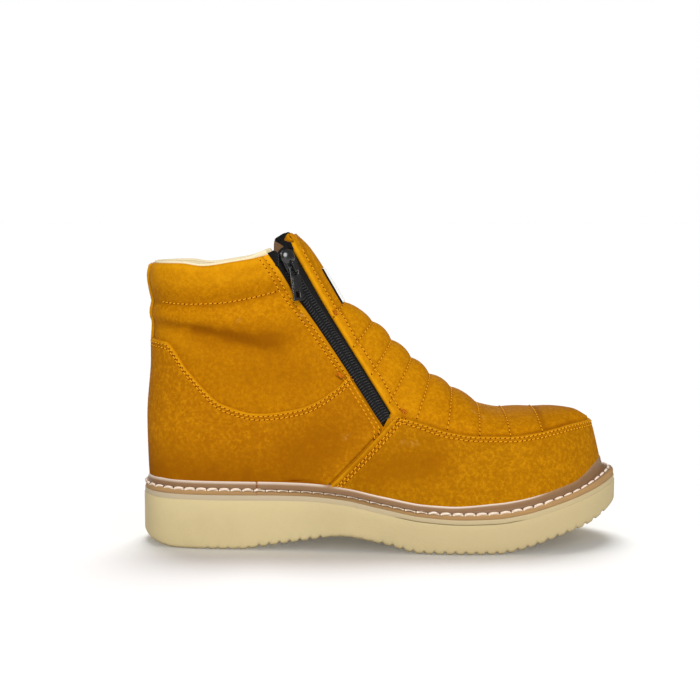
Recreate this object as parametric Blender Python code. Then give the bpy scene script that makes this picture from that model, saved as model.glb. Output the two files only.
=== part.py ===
"""Right work shoe: zips on both sides, a quilted front, a stitched welt and a wedge sole.

The toe points along +X, the outer side of the foot is -Y, and the sole stands on Z = 0.
Sizes are in millimetres, and MM turns them into metres where a mesh or a place is made.

The upper is one skin over a fan of sections. Seen from the side a section is a straight line from
the crest (instep and toe top) to the base (heel back, then the feather line on the sole). A place on
the skin is given by its section number, its share of the way round from crest to base, and its side.
"""

import math
from collections import namedtuple

import bmesh
import bpy
import numpy as np
from mathutils import Matrix, Vector

MM = 0.001
GAP = 0.3
OUTER, INNER = -1, 1
SIDES = {"outer": OUTER, "inner": INNER}

# Sole, midsole and welt
MIDSOLE_THICK = 3.0
SOLE_EDGE_ROUND = 2.6
GROOVE_PITCH = 6.5
GROOVE_MOUTH = 2.4
GROOVE_FLOOR = 1.0
GROOVE_DEPTH = 1.7
GROOVE_FIRST_X, GROOVE_LAST_X = -86.0, 145.0
WELT_LEDGE = 3.7
WELT_BEAD = 8.9
WELT_EDGE_INSET = 0.8
WELT_BEAD_FOOT = 3.4
WELT_BEAD_CROWN = 2.2
WELT_STATIONS = 68
WELT_TURN_REACH = 45.0
WELT_EASE = 0.5
WELT_CORNER = 0.5
WELT_FOOT_HEIGHT = 0.4
INSOLE_THICK = 3.2
INSOLE_EASE = 1.2

# Upper wall and what lies on it
FRONT_COLUMNS, QUARTER_COLUMNS = 4, 7
WALL = 2.4
PANEL_WALL = 3.2
CUFF_ROLL = 2.0
QUILT_ROLL = 1.7
TOE_ROLL = 0.5
OVERLAY_LIFT = 0.6
OVERLAY_FOOT = 1.1
COUNTER_THICK = 1.2
COUNTER_BACK_FOOT_X, COUNTER_BACK_TOP_X = -148.2, -147.0
COUNTER_FRONT_Z = 111.0
COUNTER_ZIP_SET_BACK, COUNTER_SEAM_SET_BACK = 0.7, 0.9
COUNTER_ROWS, COUNTER_COLUMNS = 7, 14
VAMP_ROWS, VAMP_COLUMNS = 7, 19
VAMP_WALL_THICK = 1.6
STRIP_THICK = 1.6
STRIP_HALF = 6.0
STRIP_SET_DOWN = 0.05
STRIP_SET_OFF = 0.008
PATCH_HALF = 8.0
PATCH_THICK = 1.0
PATCH_SET_IN = 0.35

# Zips
ZIP_LEAN = 0.62
ZIP_LOW_Z = 85.0
TAPE_HIGH_Z = 190.0
TAPE_DEPTH = 4.2
TAPE_THICK = 0.8
TAPE_LAP = 4.0
CHAIN_HALF = 3.1
CHAIN_TOP, CHAIN_EDGE_TOP = -0.2, -0.7
SLIDER_Z = 178.2
SLIDER_TURN_DEG = 12.0
SLIDER_LOW, SLIDER_HIGH = -4.8, 11.0
SLIDER_WIDE, SLIDER_THICK = 9.4, 1.4
SLIDER_LIFT = 0.2
SLIDER_TAPER, SLIDER_CORNER = 1.4, 1.5
BRIDGE_HALF_LONG, BRIDGE_LEG, BRIDGE_WIDE = 3.7, 1.3, 2.0
BRIDGE_HOLE, BRIDGE_TOP = 2.6, 1.2
BRIDGE_SINK, BRIDGE_HOLE_SINK = 0.9, 0.5
PULL_LONG, PULL_HALF, PULL_THICK, PULL_BAR = 22.4, 3.4, 1.4, 1.3
PULL_RING_HOLE_LONG, PULL_RING_HOLE_HALF = 4.6, 2.35
PULL_SLOT_LONG, PULL_SLOT_HALF, PULL_SLOT_FROM_END = 4.0, 1.3, 2.0
PULL_CORNER, PULL_RING_CORNER, PULL_SLOT_CORNER = 0.6, 0.8, 0.5
PULL_TILT_DEG, PULL_TURN_DEG = 4.0, 16.0

# Sole outline seen from above, once round from the heel back
PlanPoint = namedtuple("PlanPoint", "place x y")
PLAN = (
    PlanPoint("heel back", -154.7, 2.0),
    PlanPoint("heel outer quarter", -143.8, -24.5),
    PlanPoint("heel outer", -117.0, -35.0),
    PlanPoint("waist outer", -45.0, -38.0),
    PlanPoint("ball outer", 46.0, -53.0),
    PlanPoint("little toe", 95.0, -47.5),
    PlanPoint("toe outer", 129.0, -31.0),
    PlanPoint("tip outer", 147.0, -11.5),
    PlanPoint("tip", 154.7, 9.0),
    PlanPoint("tip inner", 149.5, 27.0),
    PlanPoint("toe inner", 132.0, 42.5),
    PlanPoint("big toe", 102.0, 51.5),
    PlanPoint("ball inner", 66.0, 53.0),
    PlanPoint("waist inner", -35.0, 34.5),
    PlanPoint("heel inner", -117.0, 39.0),
    PlanPoint("heel inner quarter", -143.8, 28.5),
)
PLAN_SAMPLES = 720

# Heights along the sole, and how far the upper stands in from the sole's edge
SoleRow = namedtuple("SoleRow", "x bottom top margin")
SOLE_ROWS = (
    SoleRow(-155.0, 6.5, 31.8, 6.1),
    SoleRow(-146.0, 2.4, 31.8, 6.1),
    SoleRow(-132.0, 0.0, 31.7, 6.1),
    SoleRow(-90.0, 0.0, 31.6, 6.2),
    SoleRow(-74.0, 2.0, 31.6, 6.2),
    SoleRow(-50.0, 5.4, 31.2, 6.3),
    SoleRow(-25.0, 8.8, 29.3, 6.4),
    SoleRow(0.0, 5.2, 24.6, 6.6),
    SoleRow(26.0, 0.0, 20.2, 6.8),
    SoleRow(50.0, 0.0, 18.9, 7.0),
    SoleRow(72.0, 0.0, 19.4, 7.2),
    SoleRow(88.0, 2.4, 21.4, 7.5),
    SoleRow(112.0, 9.0, 26.8, 8.2),
    SoleRow(134.0, 15.0, 32.6, 8.8),
    SoleRow(155.0, 24.5, 38.6, 9.0),
)

# The fan of sections, from the collar to the toe. Rings close behind the heel and state base_z;
# from the heel corner on, a section stands on the sole and its base width is the feather line's.
Section = namedtuple(
    "Section", "name top_x top_z base_x base_z half widest crest_round base_round crest_y"
)
SECTIONS = (
    Section("collar", -54.5, 198.8, -147.2, 181.0, 34.0, 0.50, 2.2, 2.4, 2.0),
    Section("cuff", -47.0, 191.6, -147.6, 167.0, 34.6, 0.50, 2.2, 2.4, 2.0),
    Section("cuff seam", -39.2, 180.6, -147.8, 152.0, 34.8, 0.50, 2.1, 2.3, 2.2),
    Section("ankle", -33.6, 171.4, -147.6, 120.0, 35.6, 0.50, 2.0, 2.3, 2.5),
    Section("counter", -29.4, 164.6, -150.4, 80.0, 36.0, 0.50, 2.0, 2.3, 2.8),
    Section("heel corner", -26.2, 159.4, -148.4, None, 36.4, 0.50, 2.0, 2.3, 3.0),
    Section("quilt 1", -23.2, 154.4, -130.0, None, 37.0, 0.52, 2.0, 2.3, 3.0),
    Section("quilt 2", -5.8, 142.0, -96.0, None, 38.0, 0.56, 2.0, 2.4, 3.6),
    Section("quilt 3", 6.7, 129.9, -58.0, None, 39.0, 0.62, 2.0, 2.5, 4.2),
    Section("quilt 4", 19.7, 118.2, -30.0, None, 40.6, 0.68, 2.0, 2.6, 4.8),
    Section("quilt 5", 31.8, 107.3, 0.0, None, 43.6, 0.70, 2.05, 2.8, 5.4),
    Section("quilt 6", 45.9, 98.5, 30.0, None, 47.2, 0.68, 2.15, 3.0, 5.7),
    Section("quilt 7", 62.9, 88.2, 58.0, None, 48.3, 0.64, 2.35, 3.0, 6.0),
    Section("quilt 8", 77.5, 84.7, 84.0, None, 47.1, 0.60, 2.6, 3.0, 6.5),
    Section("quilt 9", 93.0, 85.0, 106.0, None, 43.0, 0.58, 2.7, 3.0, 7.5),
    Section("plug front", 112.0, 85.3, 125.0, None, 33.0, 0.56, 2.7, 3.0, 8.0),
    Section("toe crown", 126.0, 84.0, 138.0, None, 19.0, 0.55, 2.6, 3.0, 8.5),
    Section("toe", 135.8, 79.2, 145.2, None, 3.0, 0.55, 2.4, 3.0, 9.0),
)
NUMBER = {row.name: float(i) for i, row in enumerate(SECTIONS)}
HEEL_CORNER = NUMBER["heel corner"]
FIRST_QUILT, LAST_QUILT = NUMBER["quilt 1"], NUMBER["quilt 7"]
TOE_PLUG_END = NUMBER["plug front"]
TOE = NUMBER["toe"]
ZIP_END = NUMBER["quilt 4"] + 0.2
COLLAR_BLEND = NUMBER["ankle"]
WIDTH_FOLLOWS_SOLE = NUMBER["quilt 9"]

# Zip slot seen from the side: its rear and front edge at each height
ZipRow = namedtuple("ZipRow", "z rear_x front_x")
ZIP_ROWS = (
    ZipRow(78.0, 1.1, 11.6),
    ZipRow(115.0, -22.8, -11.5),
    ZipRow(150.0, -46.6, -33.2),
    ZipRow(160.0, -53.8, -38.9),
    ZipRow(175.0, -62.8, -47.2),
    ZipRow(190.0, -73.5, -55.5),
    ZipRow(206.0, -86.0, -64.5),
)

# Lines on the upper seen from the side, each as height along X
LinePoint = namedtuple("LinePoint", "x z")
COLLAR_LINE = (
    LinePoint(-150.0, 180.9),
    LinePoint(-127.0, 181.2),
    LinePoint(-113.0, 179.6),
    LinePoint(-95.0, 182.0),
    LinePoint(-75.0, 185.6),
    LinePoint(-55.0, 192.0),
)
CUFF_LINE = (
    LinePoint(-150.0, 154.2),
    LinePoint(-124.0, 152.6),
    LinePoint(-104.0, 153.4),
    LinePoint(-76.0, 158.6),
    LinePoint(-50.0, 166.5),
)
COUNTER_LINE = (
    LinePoint(-150.0, 132.6),
    LinePoint(-136.5, 131.4),
    LinePoint(-121.0, 113.0),
    LinePoint(-101.5, 92.8),
    LinePoint(-82.0, 87.0),
    LinePoint(-60.7, 89.8),
    LinePoint(-32.5, 103.2),
    LinePoint(-10.0, 118.0),
)
MOC_LINE = (
    LinePoint(0.0, 86.5),
    LinePoint(24.0, 81.4),
    LinePoint(42.5, 77.0),
    LinePoint(61.0, 74.2),
    LinePoint(80.0, 74.5),
    LinePoint(100.0, 76.6),
    LinePoint(117.0, 78.0),
    LinePoint(130.0, 78.0),
    LinePoint(140.0, 76.4),
)
VAMP_REAR_TOP, VAMP_REAR_FOOT = LinePoint(8.6, 84.6), LinePoint(-33.0, 41.5)

# Finishes: colour, roughness, metallic
Finish = namedtuple("Finish", "colour roughness metallic")
FINISHES = {
    "leather": Finish((0.52, 0.22, 0.012), 0.62, 0.0),
    "overlay leather": Finish((0.47, 0.19, 0.010), 0.62, 0.0),
    "sole foam": Finish((0.62, 0.50, 0.27), 0.75, 0.0),
    "midsole rubber": Finish((0.56, 0.46, 0.30), 0.6, 0.0),
    "welt": Finish((0.34, 0.20, 0.10), 0.35, 0.0),
    "lining": Finish((0.80, 0.68, 0.42), 0.9, 0.0),
    "zip black": Finish((0.012, 0.012, 0.013), 0.5, 0.0),
    "slider": Finish((0.02, 0.02, 0.022), 0.3, 0.6),
    "patch": Finish((0.78, 0.76, 0.70), 0.8, 0.0),
}


def smooth_curve(xs, ys):
    """A function through the points that rises and falls only where they do (monotone cubic)."""
    xs, ys = np.asarray(xs, float), np.asarray(ys, float)
    step = np.diff(xs)
    slope = np.diff(ys) / step
    tangent = np.zeros_like(ys)
    tangent[0], tangent[-1] = slope[0], slope[-1]
    for i in range(1, len(xs) - 1):
        if slope[i - 1] * slope[i] > 0:
            before, after = 2 * step[i] + step[i - 1], step[i] + 2 * step[i - 1]
            tangent[i] = (before + after) / (before / slope[i - 1] + after / slope[i])

    def value(x):
        x = np.clip(np.asarray(x, float), xs[0], xs[-1])
        i = np.clip(np.searchsorted(xs, x, side="right") - 1, 0, len(step) - 1)
        u = (x - xs[i]) / step[i]
        rise = ys[i] * (1 + 2 * u) * (1 - u) ** 2 + ys[i + 1] * u * u * (3 - 2 * u)
        lean = tangent[i] * u * (1 - u) ** 2 - tangent[i + 1] * u * u * (1 - u)
        return rise + lean * step[i]

    return value


def ease(value, low, high):
    """0 below low, 1 above high, and a smooth step between them."""
    u = np.clip((np.asarray(value, float) - low) / (high - low), 0.0, 1.0)
    return u * u * (3 - 2 * u)


def closed_curve(points, count):
    """Samples of a smooth closed curve through the points, as a periodic cubic spline."""
    points = np.asarray(points, float)
    chord = np.linalg.norm(np.roll(points, -1, 0) - points, axis=1)
    n = len(points)
    system = np.zeros((n, n))
    right = np.zeros((n, 2))
    for i in range(n):
        before, after = chord[i - 1], chord[i]
        system[i, i - 1] += before
        system[i, i] += 2 * (before + after)
        system[i, (i + 1) % n] += after
        right[i] = 6 * ((points[(i + 1) % n] - points[i]) / after - (points[i] - points[i - 1]) / before)
    bend = np.linalg.solve(system, right)
    along = np.concatenate([[0.0], np.cumsum(chord)])
    samples = []
    for distance in np.linspace(0.0, along[-1], count, endpoint=False):
        i = min(int(np.searchsorted(along, distance, side="right")) - 1, n - 1)
        j, length = (i + 1) % n, chord[i]
        a, b = along[i + 1] - distance, distance - along[i]
        curve = (bend[i] * a**3 + bend[j] * b**3) / (6 * length)
        start, end = (points[k] / length - bend[k] * length / 6 for k in (i, j))
        samples.append(curve + start * a + end * b)
    return np.array(samples)


def outward(outline):
    """Unit normals of a closed outline that runs clockwise seen from above, pointing away from it."""
    along = np.roll(outline, -1, 0) - np.roll(outline, 1, 0)
    normal = np.stack([-along[:, 1], along[:, 0]], 1)
    normal /= np.linalg.norm(normal, axis=1)[:, None]
    middle = outline.mean(0)
    facing = np.sign(((outline - middle) * normal).sum(1).mean())
    return normal * facing


class Outline:
    """A closed outline seen from above, with its outer and inner side as functions of X."""

    def __init__(self, points):
        self.points = points
        back, tip = int(points[:, 0].argmin()), int(points[:, 0].argmax())
        ring = np.roll(points, -back, 0)
        turn = (tip - back) % len(points)
        one, other = ring[: turn + 1], np.vstack([ring[turn:], ring[:1]])[::-1]
        self.outer, self.inner = (one, other) if one[:, 1].mean() < other[:, 1].mean() else (other, one)
        self.back_x, self.tip_x = points[back, 0], points[tip, 0]

    def sides(self, x):
        outer = np.interp(x, self.outer[:, 0], self.outer[:, 1])
        inner = np.interp(x, self.inner[:, 0], self.inner[:, 1])
        return outer, inner

    def inset(self, distance):
        """The outline moved inwards by a distance that may differ from point to point."""
        moved = self.points - outward(self.points) * np.reshape(distance, (-1, 1))
        return Outline(moved)


def make_plan():
    points = closed_curve([(p.x, p.y) for p in PLAN], PLAN_SAMPLES)
    points -= (points.max(0) + points.min(0)) / 2
    return Outline(points)


sole_bottom = smooth_curve([r.x for r in SOLE_ROWS], [r.bottom for r in SOLE_ROWS])
sole_top = smooth_curve([r.x for r in SOLE_ROWS], [r.top for r in SOLE_ROWS])
welt_margin = smooth_curve([r.x for r in SOLE_ROWS], [r.margin for r in SOLE_ROWS])
zip_rear = smooth_curve([r.z for r in ZIP_ROWS], [r.rear_x for r in ZIP_ROWS])
zip_front = smooth_curve([r.z for r in ZIP_ROWS], [r.front_x for r in ZIP_ROWS])
collar_line = smooth_curve([p.x for p in COLLAR_LINE], [p.z for p in COLLAR_LINE])
cuff_line = smooth_curve([p.x for p in CUFF_LINE], [p.z for p in CUFF_LINE])
counter_line = smooth_curve([p.x for p in COUNTER_LINE], [p.z for p in COUNTER_LINE])
moc_line = smooth_curve([p.x for p in MOC_LINE], [p.z for p in MOC_LINE])

SOLE_PLAN = make_plan()
FEATHER = SOLE_PLAN.inset(welt_margin(SOLE_PLAN.points[:, 0]))


def seat(x):
    """Height of the midsole's top, where upper, welt and insole stand."""
    return sole_top(x) + MIDSOLE_THICK + GAP


def column(field):
    values = [getattr(row, field) for row in SECTIONS]
    if field == "base_z":
        values = [seat(row.base_x) if row.base_z is None else row.base_z for row in SECTIONS]
    return smooth_curve(range(len(SECTIONS)), values)


COLUMN = {field: column(field) for field in Section._fields[1:]}


def base_sides(s):
    """Outer and inner Y of the section's base: one point on rings, the feather line on the sole."""
    x = COLUMN["base_x"](s)
    outer, inner = FEATHER.sides(x)
    middle = FEATHER.sides(FEATHER.back_x)[0]
    ring = np.asarray(s) <= HEEL_CORNER
    return np.where(ring, middle, outer), np.where(ring, middle, inner)


def section(s):
    """Sizes of the section at number s, which may lie between two rows."""
    s = np.asarray(s, float)
    sizes = {field: curve(s) for field, curve in COLUMN.items()}
    sizes["base_z"] = np.where(s < HEEL_CORNER, sizes["base_z"], seat(sizes["base_x"]))
    outer, inner = base_sides(s)
    sizes["base_half"], sizes["base_y"] = (inner - outer) / 2, (inner + outer) / 2
    edge_outer, edge_inner = base_sides(WIDTH_FOLLOWS_SOLE)
    ratio = COLUMN["half"](WIDTH_FOLLOWS_SOLE) / ((edge_inner - edge_outer) / 2)
    sizes["half"] = np.where(s > WIDTH_FOLLOWS_SOLE, sizes["base_half"] * ratio, sizes["half"])
    return sizes


def round_to_fall(w, k):
    """Share of the way down from crest to base at w, the share of the way round."""
    angle = np.clip(w, 0.0, 0.5) * math.pi
    above = k["widest"] * (1 - np.clip(np.cos(angle), 0.0, 1.0) ** (2 / k["crest_round"]))
    below = k["widest"] + (1 - k["widest"]) * np.sin(np.clip(2 * w - 1, 0.0, 1.0) * math.pi / 2)
    return np.where(w <= 0.5, above, below)


def fall_to_round(t, k):
    """The inverse of round_to_fall."""
    over = np.clip(1 - t / k["widest"], 0.0, 1.0) ** (k["crest_round"] / 2)
    under = np.clip((t - k["widest"]) / (1 - k["widest"]), 0.0, 1.0)
    return np.where(t <= k["widest"], np.arccos(over) / math.pi, 0.5 + np.arcsin(under) / math.pi)


def half_width(t, k):
    """Half width of the skin at the fall t: round at the crest, fullest at widest, base_half at the base."""
    p, q = k["crest_round"], k["base_round"]
    above = np.clip(1 - np.clip(1 - t / k["widest"], 0.0, 1.0) ** p, 0.0, 1.0) ** (1 / p)
    tuck = np.clip((t - k["widest"]) / (1 - k["widest"]), 0.0, 1.0) ** q
    kept = np.clip(k["base_half"] / k["half"], 0.0, 1.0) ** q
    below = np.clip(1 - (1 - kept) * tuck, 0.0, 1.0) ** (1 / q)
    return k["half"] * np.where(t <= k["widest"], above, below)


def middle_y(t, k):
    return k["crest_y"] + (k["base_y"] - k["crest_y"]) * ease(t, 0.0, 1.0)


def skin(s, w, side):
    """The point of the smooth skin at section s, w of the way round, on one side."""
    k = section(s)
    t = round_to_fall(w, k)
    x = k["top_x"] + (k["base_x"] - k["top_x"]) * t
    z = k["top_z"] + (k["base_z"] - k["top_z"]) * t
    y = middle_y(t, k) + side * half_width(t, k)
    return np.stack(np.broadcast_arrays(x, y, z), -1)


def skin_normal(s, w, side):
    """The outward unit normal of the smooth skin."""
    step_s, step_w = 0.02, 0.004
    s, w = np.broadcast_arrays(np.asarray(s, float), np.asarray(w, float))
    s_low, s_high = np.clip(s - step_s, 0, TOE), np.clip(s + step_s, 0, TOE)
    w_low, w_high = np.clip(w - step_w, 0, 1), np.clip(w + step_w, 0, 1)
    along = skin(s_high, w, side) - skin(s_low, w, side)
    around = skin(s, w_high, side) - skin(s, w_low, side)
    normal = np.cross(along, around) * side
    crest, ring_back = w < step_w, (w > 1 - step_w) & (s < HEEL_CORNER)
    normal[..., 1] = np.where(crest | ring_back, 0.0, normal[..., 1])
    return normal / np.linalg.norm(normal, axis=-1)[..., None]


def locate(x, z):
    """Section number and fall of a place seen from the side."""
    x, z = np.broadcast_arrays(np.asarray(x, float), np.asarray(z, float))
    low, high = np.zeros(x.shape), np.full(x.shape, TOE)
    for _ in range(40):
        s = (low + high) / 2
        k = section(s)
        fall_x, fall_z = k["base_x"] - k["top_x"], k["base_z"] - k["top_z"]
        beyond = fall_x * (z - k["top_z"]) - fall_z * (x - k["top_x"]) > 0
        low, high = np.where(beyond, s, low), np.where(beyond, high, s)
    k = section(s)
    fall_x, fall_z = k["base_x"] - k["top_x"], k["base_z"] - k["top_z"]
    t = ((x - k["top_x"]) * fall_x + (z - k["top_z"]) * fall_z) / (fall_x**2 + fall_z**2)
    return s, t


def place(x, z):
    """Section number and share of the way round of a place seen from the side."""
    s, t = locate(x, z)
    return s, fall_to_round(t, section(s))


def fall_where(s, passed):
    """The fall at which section s first meets passed(x, z), which turns from False to True."""
    k = section(s)
    low, high = np.zeros(np.shape(s)), np.ones(np.shape(s))
    for _ in range(40):
        t = (low + high) / 2
        x = k["top_x"] + (k["base_x"] - k["top_x"]) * t
        z = k["top_z"] + (k["base_z"] - k["top_z"]) * t
        done = passed(x, z)
        low, high = np.where(done, low, t), np.where(done, t, high)
    return t


def round_where(s, passed):
    s = np.asarray(s, float)
    return fall_to_round(fall_where(s, passed), section(s))


def slot_front(s):
    """Share of the way round to the zip slot's front edge."""
    return round_where(np.minimum(s, ZIP_END), lambda x, z: x < zip_front(z))


def slot_rear(s):
    """Share of the way round to the zip slot's rear edge."""
    return round_where(np.minimum(s, ZIP_END), lambda x, z: x < zip_rear(z))


def panel_edge(s):
    """Share of the way round to the edge of the quilted front panel: the zip, then the moccasin seam."""
    seam = round_where(np.maximum(s, ZIP_END), lambda x, z: z < moc_line(x))
    return np.where(np.asarray(s) <= ZIP_END, slot_front(s), seam)


def relief(s, w, side):
    """How far padding lifts the surface off the smooth skin: quilted rolls in front, a rolled cuff behind."""
    s, w = np.broadcast_arrays(np.asarray(s, float), np.asarray(w, float))
    inside = 1 - ease(w / panel_edge(s), 0.72, 1.0)
    rolls = np.sin(math.pi * (s % 1.0)) ** 2
    height = np.where(s > LAST_QUILT, TOE_ROLL, QUILT_ROLL)
    quilted = (s > FIRST_QUILT) & (s < TOE_PLUG_END)
    quilt = np.where(quilted, height * np.sqrt(rolls) * inside, 0.0)
    point = skin(s, w, side)
    low, high = cuff_line(point[..., 0]), collar_line(point[..., 0])
    rise = np.clip((point[..., 2] - low) / (high - low), 0.0, 1.0)
    behind = ease(w, slot_rear(s), slot_rear(s) + 0.08)
    cuff = CUFF_ROLL * np.sin(math.pi * rise) * behind * (s < COLLAR_BLEND)
    return quilt + cuff


def surface(s, w, side, lift):
    """The point that stands lift off the padded surface of the upper."""
    height = np.asarray(relief(s, w, side) + lift)
    return skin(s, w, side) + skin_normal(s, w, side) * height[..., None]


def material(name):
    finish = FINISHES[name]
    made = bpy.data.materials.get(name) or bpy.data.materials.new(name)
    made.use_nodes = True
    shader = made.node_tree.nodes["Principled BSDF"]
    shader.inputs["Base Color"].default_value = (*finish.colour, 1.0)
    shader.inputs["Roughness"].default_value = finish.roughness
    shader.inputs["Metallic"].default_value = finish.metallic
    return made


def add_object(name, data, finish):
    """Links an object with its finish under the shoe's own empty."""
    made = bpy.data.objects.new(name, data)
    data.materials.append(material(finish))
    bpy.context.scene.collection.objects.link(made)
    made.parent = bpy.data.objects["work_shoe"]
    return made


def mesh_object(name, points, faces, finish, sharp_deg=40.0):
    """A closed mesh from points in millimetres, with its faces turned outwards and shaded smooth."""
    mesh = bpy.data.meshes.new(name)
    shape = bmesh.new()
    corners = [shape.verts.new(Vector(p) * MM) for p in points]
    for face in faces:
        distinct = list(dict.fromkeys(face))
        if len(distinct) > 2:
            shape.faces.new([corners[i] for i in distinct])
    bmesh.ops.recalc_face_normals(shape, faces=shape.faces)
    shape.to_mesh(mesh)
    shape.free()
    mesh.shade_smooth()
    mesh.set_sharp_from_angle(angle=math.radians(sharp_deg))
    return add_object(name, mesh, finish)


def grid_faces(index):
    """Quads over a grid of point numbers."""
    rows, columns = index.shape
    return [
        (index[i, j], index[i, j + 1], index[i + 1, j + 1], index[i + 1, j])
        for i in range(rows - 1)
        for j in range(columns - 1)
    ]


def thicken(outside, inside, faces):
    """Points and faces of a wall between two like layers, closed along every open edge."""
    count = len(outside)
    used = {}
    for face in faces:
        distinct = list(dict.fromkeys(face))
        for a, b in zip(distinct, distinct[1:] + distinct[:1]):
            used.setdefault(frozenset((a, b)), []).append((a, b))
    walls = []
    for edges in used.values():
        if len(edges) == 1:
            a, b = edges[0]
            walls.append((b, a, a + count, b + count))
    under = [tuple(i + count for i in reversed(face)) for face in faces]
    return np.vstack([outside, inside]), faces + under + walls


def sheet_object(name, layers, finish):
    """A panel between two grids of points, one lying over the other."""
    top, bottom = layers
    index = np.arange(top.shape[0] * top.shape[1]).reshape(top.shape[:2])
    points, faces = thicken(top.reshape(-1, 3), bottom.reshape(-1, 3), grid_faces(index))
    return mesh_object(name, points, faces, finish)


def across_object(name, rows, finish):
    """A solid through cross-sections with the same number of points, capped at both ends."""
    rows = np.asarray(rows, float)
    count, width = rows.shape[:2]
    index = np.arange(count * width).reshape(count, width)
    faces = grid_faces(np.hstack([index, index[:, :1]]))
    faces += [tuple(index[0][::-1]), tuple(index[-1])]
    return mesh_object(name, rows.reshape(-1, 3), faces, finish)


def round_stations(low, high, end_steps, middle_steps, end_length):
    """Stations along X, packed towards both rounded ends."""
    packed = end_length * (1 - np.cos(np.linspace(0, math.pi / 2, end_steps + 1)))
    middle = np.linspace(low + end_length, high - end_length, middle_steps + 1)[1:-1]
    return np.concatenate([low + packed, middle, (high - packed)[::-1]])


def groove_starts():
    return np.arange(GROOVE_FIRST_X, GROOVE_LAST_X, GROOVE_PITCH)


def groove_depth(x):
    """Depth of the tread at X: flat lands between trapezium grooves."""
    depth = 0.0
    slope = (GROOVE_MOUTH - GROOVE_FLOOR) / 2
    for start in groove_starts():
        into = min(x - start, start + GROOVE_MOUTH - x)
        depth = max(depth, GROOVE_DEPTH * min(max(into / slope, 0.0), 1.0))
    return depth


def make_outsole():
    low, high = SOLE_PLAN.back_x + 0.25, SOLE_PLAN.tip_x - 0.25
    slope = (GROOVE_MOUTH - GROOVE_FLOOR) / 2
    cuts = [start + d for start in groove_starts() for d in (0, slope, GROOVE_MOUTH - slope, GROOVE_MOUTH)]
    smooth = [x for x in round_stations(low, high, 9, 4, 30.0) if x < GROOVE_FIRST_X or x > cuts[-1]]
    rows = []
    for x in sorted([*smooth, GROOVE_FIRST_X - 8.0, *cuts]):
        outer, inner = SOLE_PLAN.sides(x)
        tread = sole_bottom(x) + groove_depth(x)
        corner = min(SOLE_EDGE_ROUND, 0.35 * (inner - outer))
        side = tread + SOLE_EDGE_ROUND
        top = sole_top(x)
        half_ring = ((0.0, top), (0.0, side), (corner, tread))
        across = [(outer + d, z) for d, z in half_ring] + [(inner - d, z) for d, z in reversed(half_ring)]
        rows.append([(x, y, z) for y, z in across])
    return across_object("outsole", rows, "sole foam")


def slab(name, outline, low, high, finish):
    """A flat layer that follows the sole's top between two heights above it."""
    rows = []
    for x in round_stations(outline.back_x + 0.25, outline.tip_x - 0.25, 8, 22, 26.0):
        outer, inner = outline.sides(x)
        top = sole_top(x)
        ring = ((outer, high), (outer, low), (inner, low), (inner, high))
        rows.append([(x, y, top + height) for y, height in ring])
    return across_object(name, rows, finish)


def make_midsole():
    return slab("midsole", SOLE_PLAN.inset(WELT_EDGE_INSET / 2), GAP, MIDSOLE_THICK, "midsole rubber")


def make_insole():
    outline = FEATHER.inset(WALL + INSOLE_EASE)
    foot = MIDSOLE_THICK + GAP
    return slab("insole", outline, foot, foot + INSOLE_THICK, "lining")


def inside_skin(x, y, z):
    """True where a point lies inside the upper's skin."""
    s, t = locate(x, z)
    k = section(s)
    line_x = k["top_x"] + (k["base_x"] - k["top_x"]) * t
    beyond_toe = (s > TOE - 0.001) & (x > line_x)
    k_t = np.clip(t, 0.0, 1.0)
    near = abs(y - middle_y(k_t, k)) < half_width(k_t, k)
    return near & (t > 0) & (t < 1) & ~beyond_toe


def skin_inset(points, normals, height):
    """How far in from the outline the skin lies, at a height above the midsole."""
    low, high = np.zeros(len(points)), np.full(len(points), 16.0)
    for _ in range(30):
        middle = (low + high) / 2
        reach = points - normals * middle[:, None]
        hit = inside_skin(reach[:, 0], reach[:, 1], seat(reach[:, 0]) + height)
        low, high = np.where(hit, low, middle), np.where(hit, middle, high)
    return low


def turning_stations(outline, count):
    """Numbers of outline points, spaced evenly but closer where the outline turns."""
    along = np.roll(outline, -1, 0) - outline
    length = np.linalg.norm(along, axis=1)
    heading = np.unwrap(np.arctan2(along[:, 1], along[:, 0]))
    turn = abs(np.diff(np.append(heading, heading[0] + np.sign(heading[-1] - heading[0]) * 2 * math.pi)))
    weight = np.concatenate([[0.0], np.cumsum(length + WELT_TURN_REACH * turn)])
    return np.searchsorted(weight, np.linspace(0.0, weight[-1], count, endpoint=False))


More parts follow.
